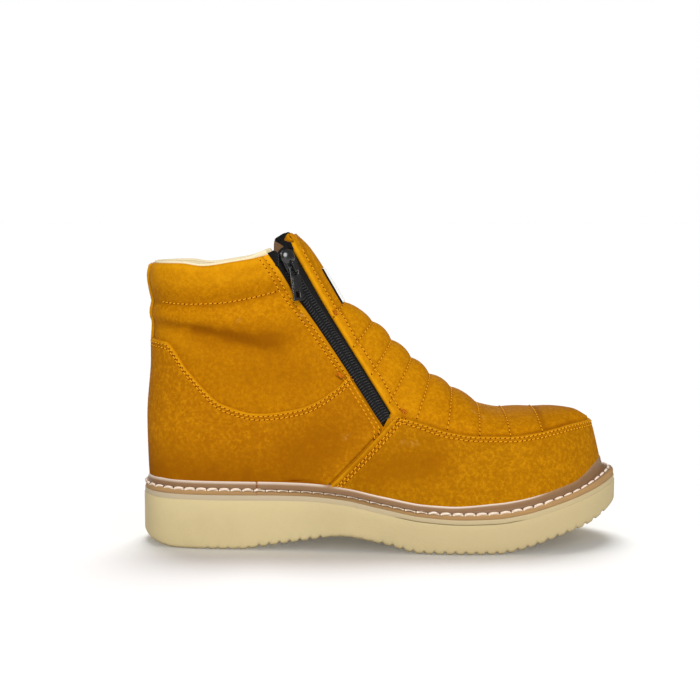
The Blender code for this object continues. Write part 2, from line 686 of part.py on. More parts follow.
def make_welt():
    """A strip round the upper: an outer ledge that carries the stitches, then a bead up the leather."""
    pick = turning_stations(SOLE_PLAN.points, WELT_STATIONS)
    points, normals = SOLE_PLAN.points[pick], outward(SOLE_PLAN.points)[pick]
    foot_inset = skin_inset(points, normals, WELT_FOOT_HEIGHT)
    middle_inset = skin_inset(points, normals, WELT_BEAD / 2)
    crown_inset = skin_inset(points, normals, WELT_BEAD)
    edge = np.full(WELT_STATIONS, WELT_EDGE_INSET)
    bead_side = (WELT_LEDGE + WELT_BEAD) / 2 + WELT_CORNER
    bead_face = crown_inset - WELT_BEAD_CROWN
    leather = crown_inset - WELT_EASE
    profile = (
        (edge, 0.0),
        (edge, WELT_LEDGE - WELT_CORNER),
        (edge + WELT_CORNER, WELT_LEDGE),
        (crown_inset - WELT_BEAD_FOOT, WELT_LEDGE),
        (bead_face - WELT_CORNER, bead_side),
        (bead_face + WELT_CORNER, WELT_BEAD - WELT_CORNER),
        (leather - WELT_CORNER, WELT_BEAD),
        (leather, WELT_BEAD - 2 * WELT_CORNER),
        (middle_inset - WELT_EASE, WELT_BEAD / 2),
        (foot_inset - WELT_EASE, 0.0),
    )
    rings = []
    for inset, height in profile:
        flat = points - normals * inset[:, None]
        rings.append(np.column_stack([flat, seat(flat[:, 0]) + height]))
    rings = np.array(rings)
    index = np.arange(rings.shape[0] * rings.shape[1]).reshape(rings.shape[:2])
    index = np.vstack([index, index[:1]])
    faces = grid_faces(np.hstack([index, index[:, :1]]))
    return mesh_object("welt", rings.reshape(-1, 3), faces, "welt", sharp_deg=50.0)


def upper_rows():
    """Section numbers of the upper's rows: close where the skin turns, three to a quilted roll."""
    cuff = np.linspace(0.0, NUMBER["cuff seam"], 5)
    ankle = NUMBER["cuff seam"] + np.array([0.6, 1.3, 2.0, 2.6])
    corner = HEEL_CORNER + np.linspace(0.0, 1.0, 5)[:-1] ** 2 * 1.33
    rolls = [n + part for n in range(int(FIRST_QUILT), int(LAST_QUILT)) for part in (0.0, 0.2, 0.6)]
    plug = np.arange(LAST_QUILT, TOE_PLUG_END, 0.5)
    toe = TOE - (TOE - TOE_PLUG_END) * (1 - np.linspace(0.0, 1.0, 8)) ** 1.6
    return np.concatenate([cuff, ankle, corner, rolls, plug, toe])


def upper_columns(s):
    """Shares of the way round at section s: front panel, zip slot or the strip below it, then quarter."""
    front = float(panel_edge(s))
    rear = front + float(slot_rear(s) - slot_front(s))
    panel = front * np.linspace(0.0, 1.0, FRONT_COLUMNS + 1)
    quarter = rear + (1.0 - rear) * np.linspace(0.0, 1.0, QUARTER_COLUMNS + 1)
    return np.concatenate([panel, quarter])


def collar_start():
    """Section number at which each column meets the collar: the front panel runs on to the top."""
    starts = np.zeros(FRONT_COLUMNS + QUARTER_COLUMNS + 2)
    for j in range(FRONT_COLUMNS + 1, len(starts)):
        low, high = 0.0, COLLAR_BLEND
        for _ in range(30):
            s = (low + high) / 2
            x, _, z = skin(s, upper_columns(s)[j], OUTER)
            low, high = (low, s) if z < collar_line(x) else (s, high)
        starts[j] = s
    return starts


def upper_grid():
    """Section number and share of the way round at each row and column of the upper."""
    rows, starts = upper_rows(), collar_start()
    s = np.maximum(rows[:, None], 0) + starts[None, :] * np.clip(1 - rows[:, None] / COLLAR_BLEND, 0, 1)
    w = np.empty_like(s)
    for j in range(s.shape[1]):
        for i in range(s.shape[0]):
            w[i, j] = upper_columns(s[i, j])[j]
    return s, w


def make_upper():
    """One hollow wall: open at the collar, at both zip slots and underneath."""
    s, w = upper_grid()
    rows, columns = s.shape
    outside, inside = [], []
    index = {}
    for side in (OUTER, INNER):
        top = surface(s, w, side, 0.0)
        wall = np.where(w < panel_edge(s) - 1e-6, PANEL_WALL, WALL)
        under = skin(s, w, side) - skin_normal(s, w, side) * wall[..., None]
        numbers = np.empty((rows, columns), int)
        for i in range(rows):
            for j in range(columns):
                ring_back = j == columns - 1 and s[i, j] <= HEEL_CORNER
                if side == INNER and (j == 0 or ring_back):
                    numbers[i, j] = index[OUTER][i, j]
                    continue
                numbers[i, j] = len(outside)
                outside.append(top[i, j])
                inside.append(under[i, j])
        index[side] = numbers
    faces = []
    for side in (OUTER, INNER):
        numbers = index[side]
        for i in range(rows - 1):
            for j in range(columns - 1):
                in_slot = j == FRONT_COLUMNS and s[i + 1, j] <= ZIP_END + 1e-6
                if not in_slot:
                    quad = (numbers[i, j], numbers[i, j + 1], numbers[i + 1, j + 1], numbers[i + 1, j])
                    faces.append(quad if side == INNER else quad[::-1])
    cap = np.stack([index[OUTER][-1], index[INNER][-1]])
    faces += grid_faces(cap)
    points, faces = thicken(np.array(outside), np.array(inside), faces)
    return mesh_object("upper", points, faces, "leather", sharp_deg=60.0)


def bead_round(s):
    """Share of the way round to the welt's bead, where what lies on the upper ends."""
    return round_where(s, lambda x, z: z < seat(x) + WELT_BEAD + OVERLAY_FOOT)


def make_vamp_wall():
    """The moccasin-toe wall: from the rear seam on one side, round the toe, to the other side."""
    rear_top, rear_foot = locate(*VAMP_REAR_TOP)[0], locate(*VAMP_REAR_FOOT)[0]
    rise = 1 - (1 - np.linspace(0.0, 1.0, VAMP_ROWS)[:, None]) ** 1.6
    run = 1 - (1 - np.linspace(0.0, 1.0, VAMP_COLUMNS)[None, :]) ** 1.5
    rear = rear_foot + (rear_top - rear_foot) * rise
    s = rear + (TOE - rear) * run
    foot, top = bead_round(s), panel_edge(np.maximum(s, ZIP_END))
    w = foot + (top - foot) * rise
    layers = []
    for lift in (OVERLAY_LIFT + VAMP_WALL_THICK, OVERLAY_LIFT):
        halves = [surface(s, w, OUTER, lift), surface(s, w, INNER, lift)[:, ::-1]]
        layers.append(np.hstack(halves))
    return sheet_object("vamp_wall", layers, "overlay leather")


def vamp_rear_x(z):
    """X of the vamp wall's rear seam at a height."""
    share = (z - VAMP_REAR_FOOT.z) / (VAMP_REAR_TOP.z - VAMP_REAR_FOOT.z)
    return VAMP_REAR_FOOT.x + (VAMP_REAR_TOP.x - VAMP_REAR_FOOT.x) * share


def strip_edge(s):
    """Share of the way round to the back strip's edge, on the rings."""
    k = section(s)
    share = np.clip(STRIP_HALF / k["half"], 0.0, 1.0) ** k["base_round"]
    return fall_to_round(k["widest"] + (1 - k["widest"]) * (1 - share) ** (1 / k["base_round"]), k)


def make_counter(name, side):
    """A heel panel: from the back strip forward to the zip and the vamp wall, under a swooping edge."""
    rise = np.linspace(0.0, 1.0, COUNTER_ROWS)[:, None]
    run = np.linspace(0.0, 1.0, COUNTER_COLUMNS)[None, :] ** 1.5
    front_foot = VAMP_REAR_FOOT.x - COUNTER_SEAM_SET_BACK
    front_top = float(zip_rear(COUNTER_FRONT_Z)) - COUNTER_ZIP_SET_BACK
    x_foot = COUNTER_BACK_FOOT_X + (front_foot - COUNTER_BACK_FOOT_X) * run
    x_top = COUNTER_BACK_TOP_X + (front_top - COUNTER_BACK_TOP_X) * run
    z_foot = seat(x_foot) + WELT_BEAD + OVERLAY_FOOT
    z_top = counter_line(x_top)
    z = z_foot + (z_top - z_foot) * rise
    front = np.minimum(zip_rear(z) - COUNTER_ZIP_SET_BACK, vamp_rear_x(z) - COUNTER_SEAM_SET_BACK)
    straight = x_foot + (x_top - x_foot) * rise
    x = straight + (front - straight[:, -1:]) * run**2
    s, w = place(x, z)
    edge = strip_edge(np.minimum(s[:, :1], HEEL_CORNER)) - STRIP_SET_OFF
    w = np.minimum(w + (edge - w[:, :1]) * (1 - run) ** 6, bead_round(s))
    layers = [surface(s, w, side, OVERLAY_LIFT + COUNTER_THICK), surface(s, w, side, OVERLAY_LIFT)]
    return sheet_object(name, layers, "overlay leather")


def make_back_strip():
    """The strip over the back seam, from the welt's bead to just under the collar's edge."""
    rows = upper_grid()[0][:, -1]
    low_z = float(seat(FEATHER.back_x)) + WELT_BEAD + OVERLAY_FOOT
    rings = np.linspace(NUMBER["counter"], HEEL_CORNER, 200)
    foot = float(np.interp(-low_z, -COLUMN["base_z"](rings), rings))
    top = rows[0] + STRIP_SET_DOWN
    s = np.array([top, *rows[(rows > top) & (rows < foot)], foot])[:, None]
    edge = strip_edge(s)
    w = 1 - (1 - edge) * np.array([1.0, 0.55])[None, :]
    layers = []
    for lift in (GAP + STRIP_THICK, GAP):
        back = surface(s, np.ones_like(s), OUTER, lift)
        halves = [surface(s, w, OUTER, lift), back, surface(s, w, INNER, lift)[:, ::-1]]
        layers.append(np.hstack(halves))
    return sheet_object("back_strip", layers, "overlay leather")


def make_front_patch():
    """A blank patch across the crest, above the first quilted line."""
    s = np.linspace(NUMBER["cuff seam"] + PATCH_SET_IN, FIRST_QUILT - PATCH_SET_IN, 7)[:, None]
    k = section(s)
    share = np.clip(PATCH_HALF * np.array([1.0, 0.7, 0.35])[None, :] / k["half"], 0.0, 1.0)
    fall = k["widest"] * (1 - (1 - share ** k["crest_round"]) ** (1 / k["crest_round"]))
    w = fall_to_round(fall, k)
    layers = []
    for lift in (GAP + PATCH_THICK, GAP):
        crest = surface(s, np.zeros_like(s), OUTER, lift)
        halves = [surface(s, w, OUTER, lift), crest, surface(s, w, INNER, lift)[:, ::-1]]
        layers.append(np.hstack(halves))
    return sheet_object("front_patch", layers, "patch")


def zip_strip(heights, shares, side, lift):
    """Points in the zip slot: shares run from 0 at its rear edge to 1 at its front edge."""
    z = np.asarray(heights, float)[:, None]
    rear, front = zip_rear(z), zip_front(z)
    x = rear + (front - rear) * shares
    lean = (x - (rear + front) / 2) * ZIP_LEAN
    s, w = place(x, z + lean)
    return skin(s, w, side) + skin_normal(s, w, side) * lift


def make_zip_tape(name, side):
    """The woven tape behind the slot, lapped under the leather on both sides."""
    heights = np.linspace(ZIP_LOW_Z, TAPE_HIGH_Z, 10)
    width = (zip_front(heights) - zip_rear(heights))[:, None]
    lap = TAPE_LAP / width
    shares = -lap + (1 + 2 * lap) * np.linspace(0.0, 1.0, 5)[None, :]
    layers = [zip_strip(heights, shares, side, -depth) for depth in (TAPE_DEPTH, TAPE_DEPTH + TAPE_THICK)]
    return sheet_object(name, layers, "zip black")


def make_zip_chain(name, side):
    """The closed chain of teeth, from the slot's foot to the slider."""
    heights = np.linspace(ZIP_LOW_Z + 0.5, SLIDER_Z - 3.0, 10)
    width = (zip_front(heights) - zip_rear(heights))[:, None]
    half = CHAIN_HALF / width
    shares = 0.5 + half * np.array([-1.0, -0.7, 0.0, 0.7, 1.0])[None, :]
    crown = np.array([CHAIN_EDGE_TOP, CHAIN_TOP, CHAIN_TOP, CHAIN_TOP, CHAIN_EDGE_TOP])[None, :, None]
    floor = 3 * GAP - TAPE_DEPTH
    layers = [zip_strip(heights, shares, side, crown), zip_strip(heights, shares, side, floor)]
    return sheet_object(name, layers, "zip black")


def slider_frame(side):
    """Place of the slider, turned a little in the zip: X across it, Y up, Z off the surface, in metres."""
    def middle(z):
        return zip_strip([z], np.array([[0.5]]), side, 0.0)[0, 0]

    up = Vector(middle(SLIDER_Z + 6.0) - middle(SLIDER_Z - 6.0)).normalized()
    s, w = place((zip_rear(SLIDER_Z) + zip_front(SLIDER_Z)) / 2, SLIDER_Z)
    off = Vector(skin_normal(s, w, side))
    across = up.cross(off).normalized()
    off = across.cross(up)
    frame = Matrix((across, up, off)).transposed().to_4x4()
    frame.translation = Vector(middle(SLIDER_Z)) * MM
    return frame @ Matrix.Rotation(math.radians(side * SLIDER_TURN_DEG), 4, "Z")


def join(made, other):
    """Adds another closed shape to a solid and leaves it out as a guide."""
    union = made.modifiers.new("joined " + other.name, "BOOLEAN")
    union.operation = "UNION"
    union.solver = "MANIFOLD"
    union.object = other
    other.hide_render = True
    other.display_type = "WIRE"


def plate_object(name, outline, holes, low, high, finish):
    """A flat piece with holes: its outline in the XY plane, standing from low to high."""
    data = bpy.data.curves.new(name, "CURVE")
    data.dimensions = "2D"
    data.fill_mode = "BOTH"
    data.extrude = (high - low) / 2 * MM
    for loop in (outline, *holes):
        spline = data.splines.new("POLY")
        spline.points.add(len(loop) - 1)
        spline.use_cyclic_u = True
        for point, (x, y) in zip(spline.points, loop):
            point.co = (x * MM, y * MM, 0.0, 1.0)
    flat = bpy.data.objects.new(name + "_outline", data)
    bpy.context.scene.collection.objects.link(flat)
    bpy.context.view_layer.update()
    mesh = bpy.data.meshes.new_from_object(flat.evaluated_get(bpy.context.evaluated_depsgraph_get()))
    bpy.data.objects.remove(flat)
    mesh.transform(Matrix.Translation((0.0, 0.0, (low + high) / 2 * MM)))
    shape = bmesh.new()
    shape.from_mesh(mesh)
    bmesh.ops.remove_doubles(shape, verts=shape.verts, dist=0.00001)
    bmesh.ops.recalc_face_normals(shape, faces=shape.faces)
    shape.to_mesh(mesh)
    shape.free()
    mesh.materials.clear()
    mesh.name = name
    return add_object(name, mesh, finish)


def rounded(half_x, low_y, high_y, corner, steps=2):
    """A rectangle with round corners, as a loop of points."""
    loop = []
    for cx, cy, start in (
        (half_x - corner, high_y - corner, 0),
        (corner - half_x, high_y - corner, 90),
        (corner - half_x, low_y + corner, 180),
        (half_x - corner, low_y + corner, 270),
    ):
        for i in range(steps + 1):
            angle = math.radians(start + 90 * i / steps)
            loop.append((cx + corner * math.cos(angle), cy + corner * math.sin(angle)))
    return loop


def make_slider(name, side):
    """The slider's body with the bridge that the pull tab hangs from."""
    base, top = SLIDER_LIFT, SLIDER_LIFT + SLIDER_THICK
    shoulder = SLIDER_WIDE / 2
    body = [
        (shoulder - SLIDER_TAPER, SLIDER_LOW),
        (shoulder, (SLIDER_LOW + SLIDER_HIGH) / 2),
        (shoulder, SLIDER_HIGH - SLIDER_CORNER),
        (shoulder - SLIDER_CORNER, SLIDER_HIGH),
    ]
    outline = body + [(-x, y) for x, y in reversed(body)]
    made = plate_object(name, outline, (), base, top, "slider")
    bridge = plate_object(
        name + "_bridge",
        rounded(BRIDGE_HALF_LONG, top - BRIDGE_SINK, top + BRIDGE_HOLE + BRIDGE_TOP, BRIDGE_TOP),
        (rounded(BRIDGE_HALF_LONG - BRIDGE_LEG, top - BRIDGE_HOLE_SINK, top + BRIDGE_HOLE, BRIDGE_TOP / 2),),
        -BRIDGE_WIDE / 2,
        BRIDGE_WIDE / 2,
        "slider",
    )
    bridge.data.transform(Matrix(((0, 0, 1, 0), (1, 0, 0, 0), (0, 1, 0, 0), (0, 0, 0, 1))))
    made.matrix_world = slider_frame(side)
    bridge.matrix_world = slider_frame(side)
    join(made, bridge)
    return made


def make_pull(name, side):
    """The pull tab, hanging down the zip from a bar under the bridge. Its origin is on the bar's axis."""
    low, ring_low = PULL_BAR / 2 - PULL_LONG, -PULL_BAR / 2 - PULL_RING_HOLE_LONG
    slot_low = low + PULL_SLOT_FROM_END
    made = plate_object(
        name,
        rounded(PULL_HALF, low, PULL_BAR / 2, PULL_CORNER),
        (
            rounded(PULL_RING_HOLE_HALF, ring_low, -PULL_BAR / 2, PULL_RING_CORNER),
            rounded(PULL_SLOT_HALF, slot_low, slot_low + PULL_SLOT_LONG, PULL_SLOT_CORNER),
        ),
        -PULL_THICK / 2,
        PULL_THICK / 2,
        "slider",
    )
    axis_height = SLIDER_LIFT + SLIDER_THICK + BRIDGE_HOLE / 2
    raised = Matrix.Translation((0.0, 0.0, axis_height * MM))
    turned = Matrix.Rotation(math.radians(side * PULL_TURN_DEG), 4, "Z")
    tilted = Matrix.Rotation(math.radians(-PULL_TILT_DEG), 4, "X")
    made.matrix_world = slider_frame(side) @ raised @ turned @ tilted
    return made


def make_zips():
    for word, side in SIDES.items():
        make_zip_tape(f"zip_tape_{word}", side)
        make_zip_chain(f"zip_chain_{word}", side)
        make_slider(f"zip_slider_{word}", side)
        make_pull(f"zip_pull_{word}", side)


def clear_scene():
    for made in list(bpy.data.objects):
        bpy.data.objects.remove(made)


def main():
    clear_scene()
    root = bpy.data.objects.new("work_shoe", None)
    bpy.context.scene.collection.objects.link(root)
    make_outsole()
    make_midsole()
    make_insole()
    make_welt()
    make_upper()
    make_vamp_wall()
    for word, side in SIDES.items():
        make_counter(f"counter_{word}", side)
    make_back_strip()
    make_front_patch()
    make_zips()


main()
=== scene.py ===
"""Looks of the right work shoe: quilted leather, stitched seams, two zips, a welt and a wedge sole.

The toe points along +X, the outer side of the foot is -Y, and the sole stands on Z = 0.
Places on the shoe are in millimetres, and MM turns them into metres where a mesh is made.

The upper is one skin over a fan of sections, as in the part's source. Seen from the side a section is
a straight line from the crest (instep and toe top) to the base (heel back, then the feather line on
the sole). A place on the skin is its section number, its share of the way round, and its side.
"""

import math
from collections import namedtuple
from functools import lru_cache
from types import SimpleNamespace

import bmesh
import bpy
import numpy as np
from mathutils import Matrix, Vector

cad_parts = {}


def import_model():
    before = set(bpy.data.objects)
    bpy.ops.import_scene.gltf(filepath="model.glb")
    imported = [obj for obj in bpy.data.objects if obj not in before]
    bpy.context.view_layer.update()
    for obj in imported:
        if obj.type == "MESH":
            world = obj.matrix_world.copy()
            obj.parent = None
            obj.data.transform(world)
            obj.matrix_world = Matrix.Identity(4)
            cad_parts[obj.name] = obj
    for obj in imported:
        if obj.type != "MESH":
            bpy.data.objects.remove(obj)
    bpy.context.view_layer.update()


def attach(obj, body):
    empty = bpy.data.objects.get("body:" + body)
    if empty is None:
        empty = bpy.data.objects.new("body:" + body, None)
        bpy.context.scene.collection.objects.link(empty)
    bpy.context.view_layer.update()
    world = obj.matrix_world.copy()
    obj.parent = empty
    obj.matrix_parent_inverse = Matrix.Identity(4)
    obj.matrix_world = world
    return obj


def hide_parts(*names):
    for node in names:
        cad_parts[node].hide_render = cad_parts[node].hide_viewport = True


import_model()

bl_info = {
    "name": "Work Shoe Looks",
    "version": (1, 0, 0),
    "blender": (4, 5, 0),
    "location": "View3D > Sidebar > Work Shoe",
    "description": "Leather, stitches, zips and sole of the work shoe",
    "category": "Add Mesh",
}


def table(columns, *rows):
    """Rows of values with named columns."""
    kind = namedtuple("Row", columns)
    return tuple(kind(*row) for row in rows)


MM = 0.001
NEAR = 1e-6
OUTER, INNER = -1, 1
SIDES = {"outer": OUTER, "inner": INNER}

# Sole, welt and insole
GAP = 0.3
MIDSOLE_THICK = 3.0
SOLE_EDGE_ROUND = 2.6
GROOVE_PITCH = 6.5
GROOVE_MOUTH = 3.2
GROOVE_DEPTH = 1.35
GROOVE_FLOOR, GROOVE_SOFT = 0.2, 0.1
GROOVE_FIRST_X, GROOVE_LAST_X = -112.0, 145.0
# How much shallower the grooves are worn under the arch and the heel, and where
ARCH_WORN, ARCH_WORN_X, ARCH_WORN_END_X = 0.75, (-40.0, -32.0), (-8.0, 4.0)
HEEL_WORN, HEEL_WORN_END_X = 0.5, (-88.0, -76.0)
# Where the gap over the wedge sole opens and closes
MIDSOLE_GAP_X = (-2.0, 14.0)
MIDSOLE_GAP_END_X = (82.0, 100.0)
WELT_LEDGE = 3.7
WELT_BEAD = 8.9
WELT_EDGE_INSET = 0.8
WELT_BEAD_FOOT = 3.4
WELT_BEAD_CROWN = 2.2
# How far the bead rises at the front and again at the tip, and its rim, ledge and inner ledge at the tip
WELT_FRONT_RISE, WELT_FRONT_X = 1.5, (40.0, 75.0)
WELT_TIP_RISE, WELT_TIP_X = 5.0, (125.0, 153.0)
WELT_TIP_LEDGE_RISES = (0.8, 2.0, 3.5)
WELT_TIP_CLEAR, WELT_TIP_CLEAR_X = 0.5, (125.0, 150.0)
# Where the painted highlight on the bead's rim comes and goes, and where the vamp wall's rear end hides it
WELT_HEEL_SHINE, WELT_SHINE_X, WELT_SHINE_END_X = 0.6, (-30.0, 0.0), (92.0, 112.0)
WELT_DULL_X, WELT_DULL_HALF = -32.5, 4.0
WELT_EASE = 0.5
WELT_STATIONS = 420
WELT_TURN_REACH = 45.0
# The joint of the welt's two ends, on the outer side
WELT_JOINT_X, WELT_JOINT_HALF, WELT_JOINT_DEPTH, WELT_JOINT_REACH = -79.0, 0.45, 0.5, 1.2
INSOLE_THICK = 3.2
INSOLE_EASE = 1.2
INSOLE_SOFT = 0.8
MIDSOLE_SOFT, MIDSOLE_SUNK, MIDSOLE_SET_DOWN = 0.4, 1.1, 0.05

# Upper wall and what lies on it
WALL = 2.4
PANEL_WALL = 3.2
SKIVED_WALL, SKIVED_REACH = 1.5, (5.0, 8.0)
TOE_ROLL = 0.5
OVERLAY_LIFT = 0.6
SEAM_DEPTH = 0.3
PANEL_SINK = 0.3
OVERLAY_TUCK = 1.6
COUNTER_THICK = 1.2
COUNTER_BACK_FOOT_X, COUNTER_BACK_TOP_X = -148.2, -147.0
COUNTER_FRONT_Z = 111.0
COUNTER_ZIP_SET_BACK, COUNTER_SEAM_SET_BACK = 0.7, 0.9
VAMP_WALL_THICK = 1.6
STRIP_THICK = 1.6
STRIP_HALF = 6.0
STRIP_SET_DOWN = 0.05
STRIP_GAP_X = -128.0
STRIP_THREAD_SINK = 0.45
PATCH_HALF = 8.0
PATCH_SET_IN, PATCH_FOOT_SET_IN = 0.35, 0.14
PATCH_CLOTH = 0.4

# Zips
ZIP_LEAN = 0.62
ZIP_LOW_Z = 85.0
TAPE_HIGH_Z = 190.0
TAPE_DEPTH = 2.3
TAPE_THICK = 0.8
TAPE_LAP = 4.0
TAPE_REAR_HIGH_Z = 188.6
CHAIN_HALF = 3.4
CHAIN_SHARE = 0.46
CHAIN_TOP = -0.3
SLIDER_Z = 178.2
SLIDER_TURN_DEG = 12.0
SLIDER_LOW, SLIDER_HIGH = -4.8, 11.0
SLIDER_WIDE, SLIDER_THICK = 9.4, 1.4
SLIDER_LIFT = 0.2
SLIDER_TAPER, SLIDER_CORNER = 1.4, 1.5
BRIDGE_HALF_LONG, BRIDGE_LEG, BRIDGE_WIDE = 3.7, 1.3, 2.0
BRIDGE_HOLE, BRIDGE_TOP = 2.6, 1.2
DOME_HALF_WIDE, DOME_HALF_LONG, DOME_HIGH = 5.2, 5.4, 3.3
PULL_LONG, PULL_HALF, PULL_THICK, PULL_BAR = 22.4, 3.4, 1.4, 1.3
PULL_RING_HOLE_LONG, PULL_RING_HOLE_HALF = 4.6, 2.35
PULL_SLOT_LONG, PULL_SLOT_HALF, PULL_SLOT_FROM_END = 4.0, 1.3, 2.0
PULL_CORNER, PULL_RING_CORNER, PULL_SLOT_CORNER = 0.6, 1.9, 0.5
PULL_RING_ROUND = 2.6
PULL_TILT_DEG, PULL_TURN_DEG = 4.0, 16.0

# Open top of the zip seen from the side: the front tape's loose end and the facing behind it, each as its
# front edge from low to high and then its rear edge from low to high, and the leather's rolled end
TAPE_ENDS = {
    "front": ((-55.2, 189.0), (-58.6, 198.2), (-58.6, 192.0), (-64.6, 199.0)),
    "rear": ((-64.2, 179.0), (-64.6, 187.0), (-69.0, 179.5), (-71.4, 187.8)),
}
TAPE_CURLS = {"front": 4.5, "rear": 0.6}
FACING_END = ((-56.0, 186.0), (-59.0, 195.6), (-65.6, 187.0), (-63.8, 199.0))
FACING_THICK = 0.9
TAPE_END_RIBS = 9
EDGE_ROLL_AT = (-58.8, 196.0)
EDGE_ROLL_HALF = (2.1, 3.0)

# Section of the lining's edge: off the collar's skin, and up from the collar
LINING_EDGE = table(
    "off up",
    (-1.2, -6.0), (-1.0, 0.0), (-0.9, 0.5), (-1.3, 1.1), (-2.0, 1.3), (-2.7, 1.1), (-3.2, 0.5),
    (-3.5, -0.4), (-3.7, -3.0), (-3.3, -6.0),
)
LINING_END_RISE = 2.4

# Stitches: the inputs of their nodes, and how a hole is stretched along, across and into the seam
STITCH_SIZES = ("Pitch", "Stitch Length", "Thread Radius", "Rise", "Slant", "Hole Radius", "Wander")
STITCH_SEED = 7
PANEL_RISE, PANEL_SLANT_DEG, PANEL_WANDER = 0.9, 9.0, 0.12
TACK_PITCH, TACK_SLANT_DEG, TACK_HOLE = 0.55, 80.0, 0.1
WELT_RISE, WELT_SLANT_DEG, WELT_HOLE, WELT_WANDER = 0.65, 2.0, 0.5, 0.08
COIL_TURN, COIL_RADIUS, COIL_RISE, COIL_SLANT_DEG, COIL_HOLE = 3.4, 0.4, 1.6, 80.0, 0.2
HOLE_STRETCH = (1.15, 1.0, 0.45)

# Seams of the upper: along the cuff, behind the zip (near and far off its foot and its top), before it,
# and across the quilted panel
CUFF_SEAM_X, CUFF_SEAM_RISE, CUFF_SEAM_LIFT = (-140.0, -68.0), 0.4, 0.1
REAR_SEAMS, REAR_SEAM_Z, REAR_SEAM_SPREAD_Z = ((2.5, 3.7), (5.0, 6.9)), (184.0, 70.0), (100.0, 172.0)
FRONT_SEAM, FRONT_SEAM_NEARER, FRONT_SEAM_Z, FRONT_SEAM_NEARER_Z = 5.4, 1.9, (188.0, 90.0), (105.0, 175.0)
QUILT_SEAM_SHARES = (0.02, 0.93)

# Finishes and light
GREY = (0.5, 0.5, 0.5, 1.0)
SHEEN_ROUGHNESS, COAT_ROUGHNESS = 0.4, 0.2
ROOM_LIGHT = 0.25
FLOOR_HALF, FLOOR_GREYS = 30, (0.93, 0.96)
# Soft lights from far away: where they come from, and the groups that they fall on and are stopped by
SUNS = table(
    "name towards strength spread_deg falls_on stopped_by",
    ("front sky", (0.10, -0.81, 0.575), 3.3, 40.0, "shoe", None),
    ("inner fill", (-0.20, 0.95, 0.25), 1.6, 60.0, "shoe", None),
    ("floor back sky", (0.0, 0.48, 0.88), 2.3, 34.0, "floor", "low pieces"),
    ("floor fill", (0.0, -0.30, 0.95), 0.68, 60.0, "floor", "floor"),
)
# Pieces that shade the floor in the light from behind
LOW_PIECES = (
    "outsole_wedge", "midsole_layer", "welt_leather", "vamp_panel", "heel_panel_outer", "heel_panel_inner"
)

# Camera at the photograph's angle
CAMERA_AT = (-0.020, -0.95, 0.212)
CAMERA_AIM = (-0.020, 0.0, 0.1237)
CAMERA_LENS, CAMERA_SENSOR = 75.39, 36.0

# Sole outline seen from above, once round from the heel back
PLAN = table(
    "place x y",
    ("heel back", -154.7, 2.0),
    ("heel outer quarter", -143.8, -24.5),
    ("heel outer", -117.0, -35.0),
    ("waist outer", -45.0, -38.0),
    ("ball outer", 46.0, -53.0),
    ("little toe", 95.0, -47.5),
    ("toe outer", 129.0, -31.0),
    ("tip outer", 147.0, -11.5),
    ("tip", 154.7, 9.0),
    ("tip inner", 149.5, 27.0),
    ("toe inner", 132.0, 42.5),
    ("big toe", 102.0, 51.5),
    ("ball inner", 66.0, 53.0),
    ("waist inner", -35.0, 34.5),
    ("heel inner", -117.0, 39.0),
    ("heel inner quarter", -143.8, 28.5),
)
PLAN_SAMPLES = 1440

# Heights along the sole, and how far the upper stands in from the sole's edge
SOLE_ROWS = table(
    "x bottom top margin",
    (-155.0, 6.5, 31.8, 6.1),
    (-146.0, 2.4, 31.8, 6.1),
    (-132.0, 0.0, 31.7, 6.1),
    (-90.0, 0.0, 31.6, 6.2),
    (-74.0, 2.0, 31.6, 6.2),
    (-50.0, 5.4, 31.2, 6.3),
    (-25.0, 8.8, 29.3, 6.4),
    (0.0, 5.2, 24.6, 6.6),
    (26.0, 0.0, 20.2, 6.8),
    (50.0, 0.0, 18.9, 7.0),
    (72.0, 0.0, 19.4, 7.2),
    (88.0, 2.4, 21.4, 7.5),
    (112.0, 9.0, 26.8, 8.2),
    (134.0, 15.0, 32.6, 8.8),
    (155.0, 24.5, 38.6, 9.0),
)

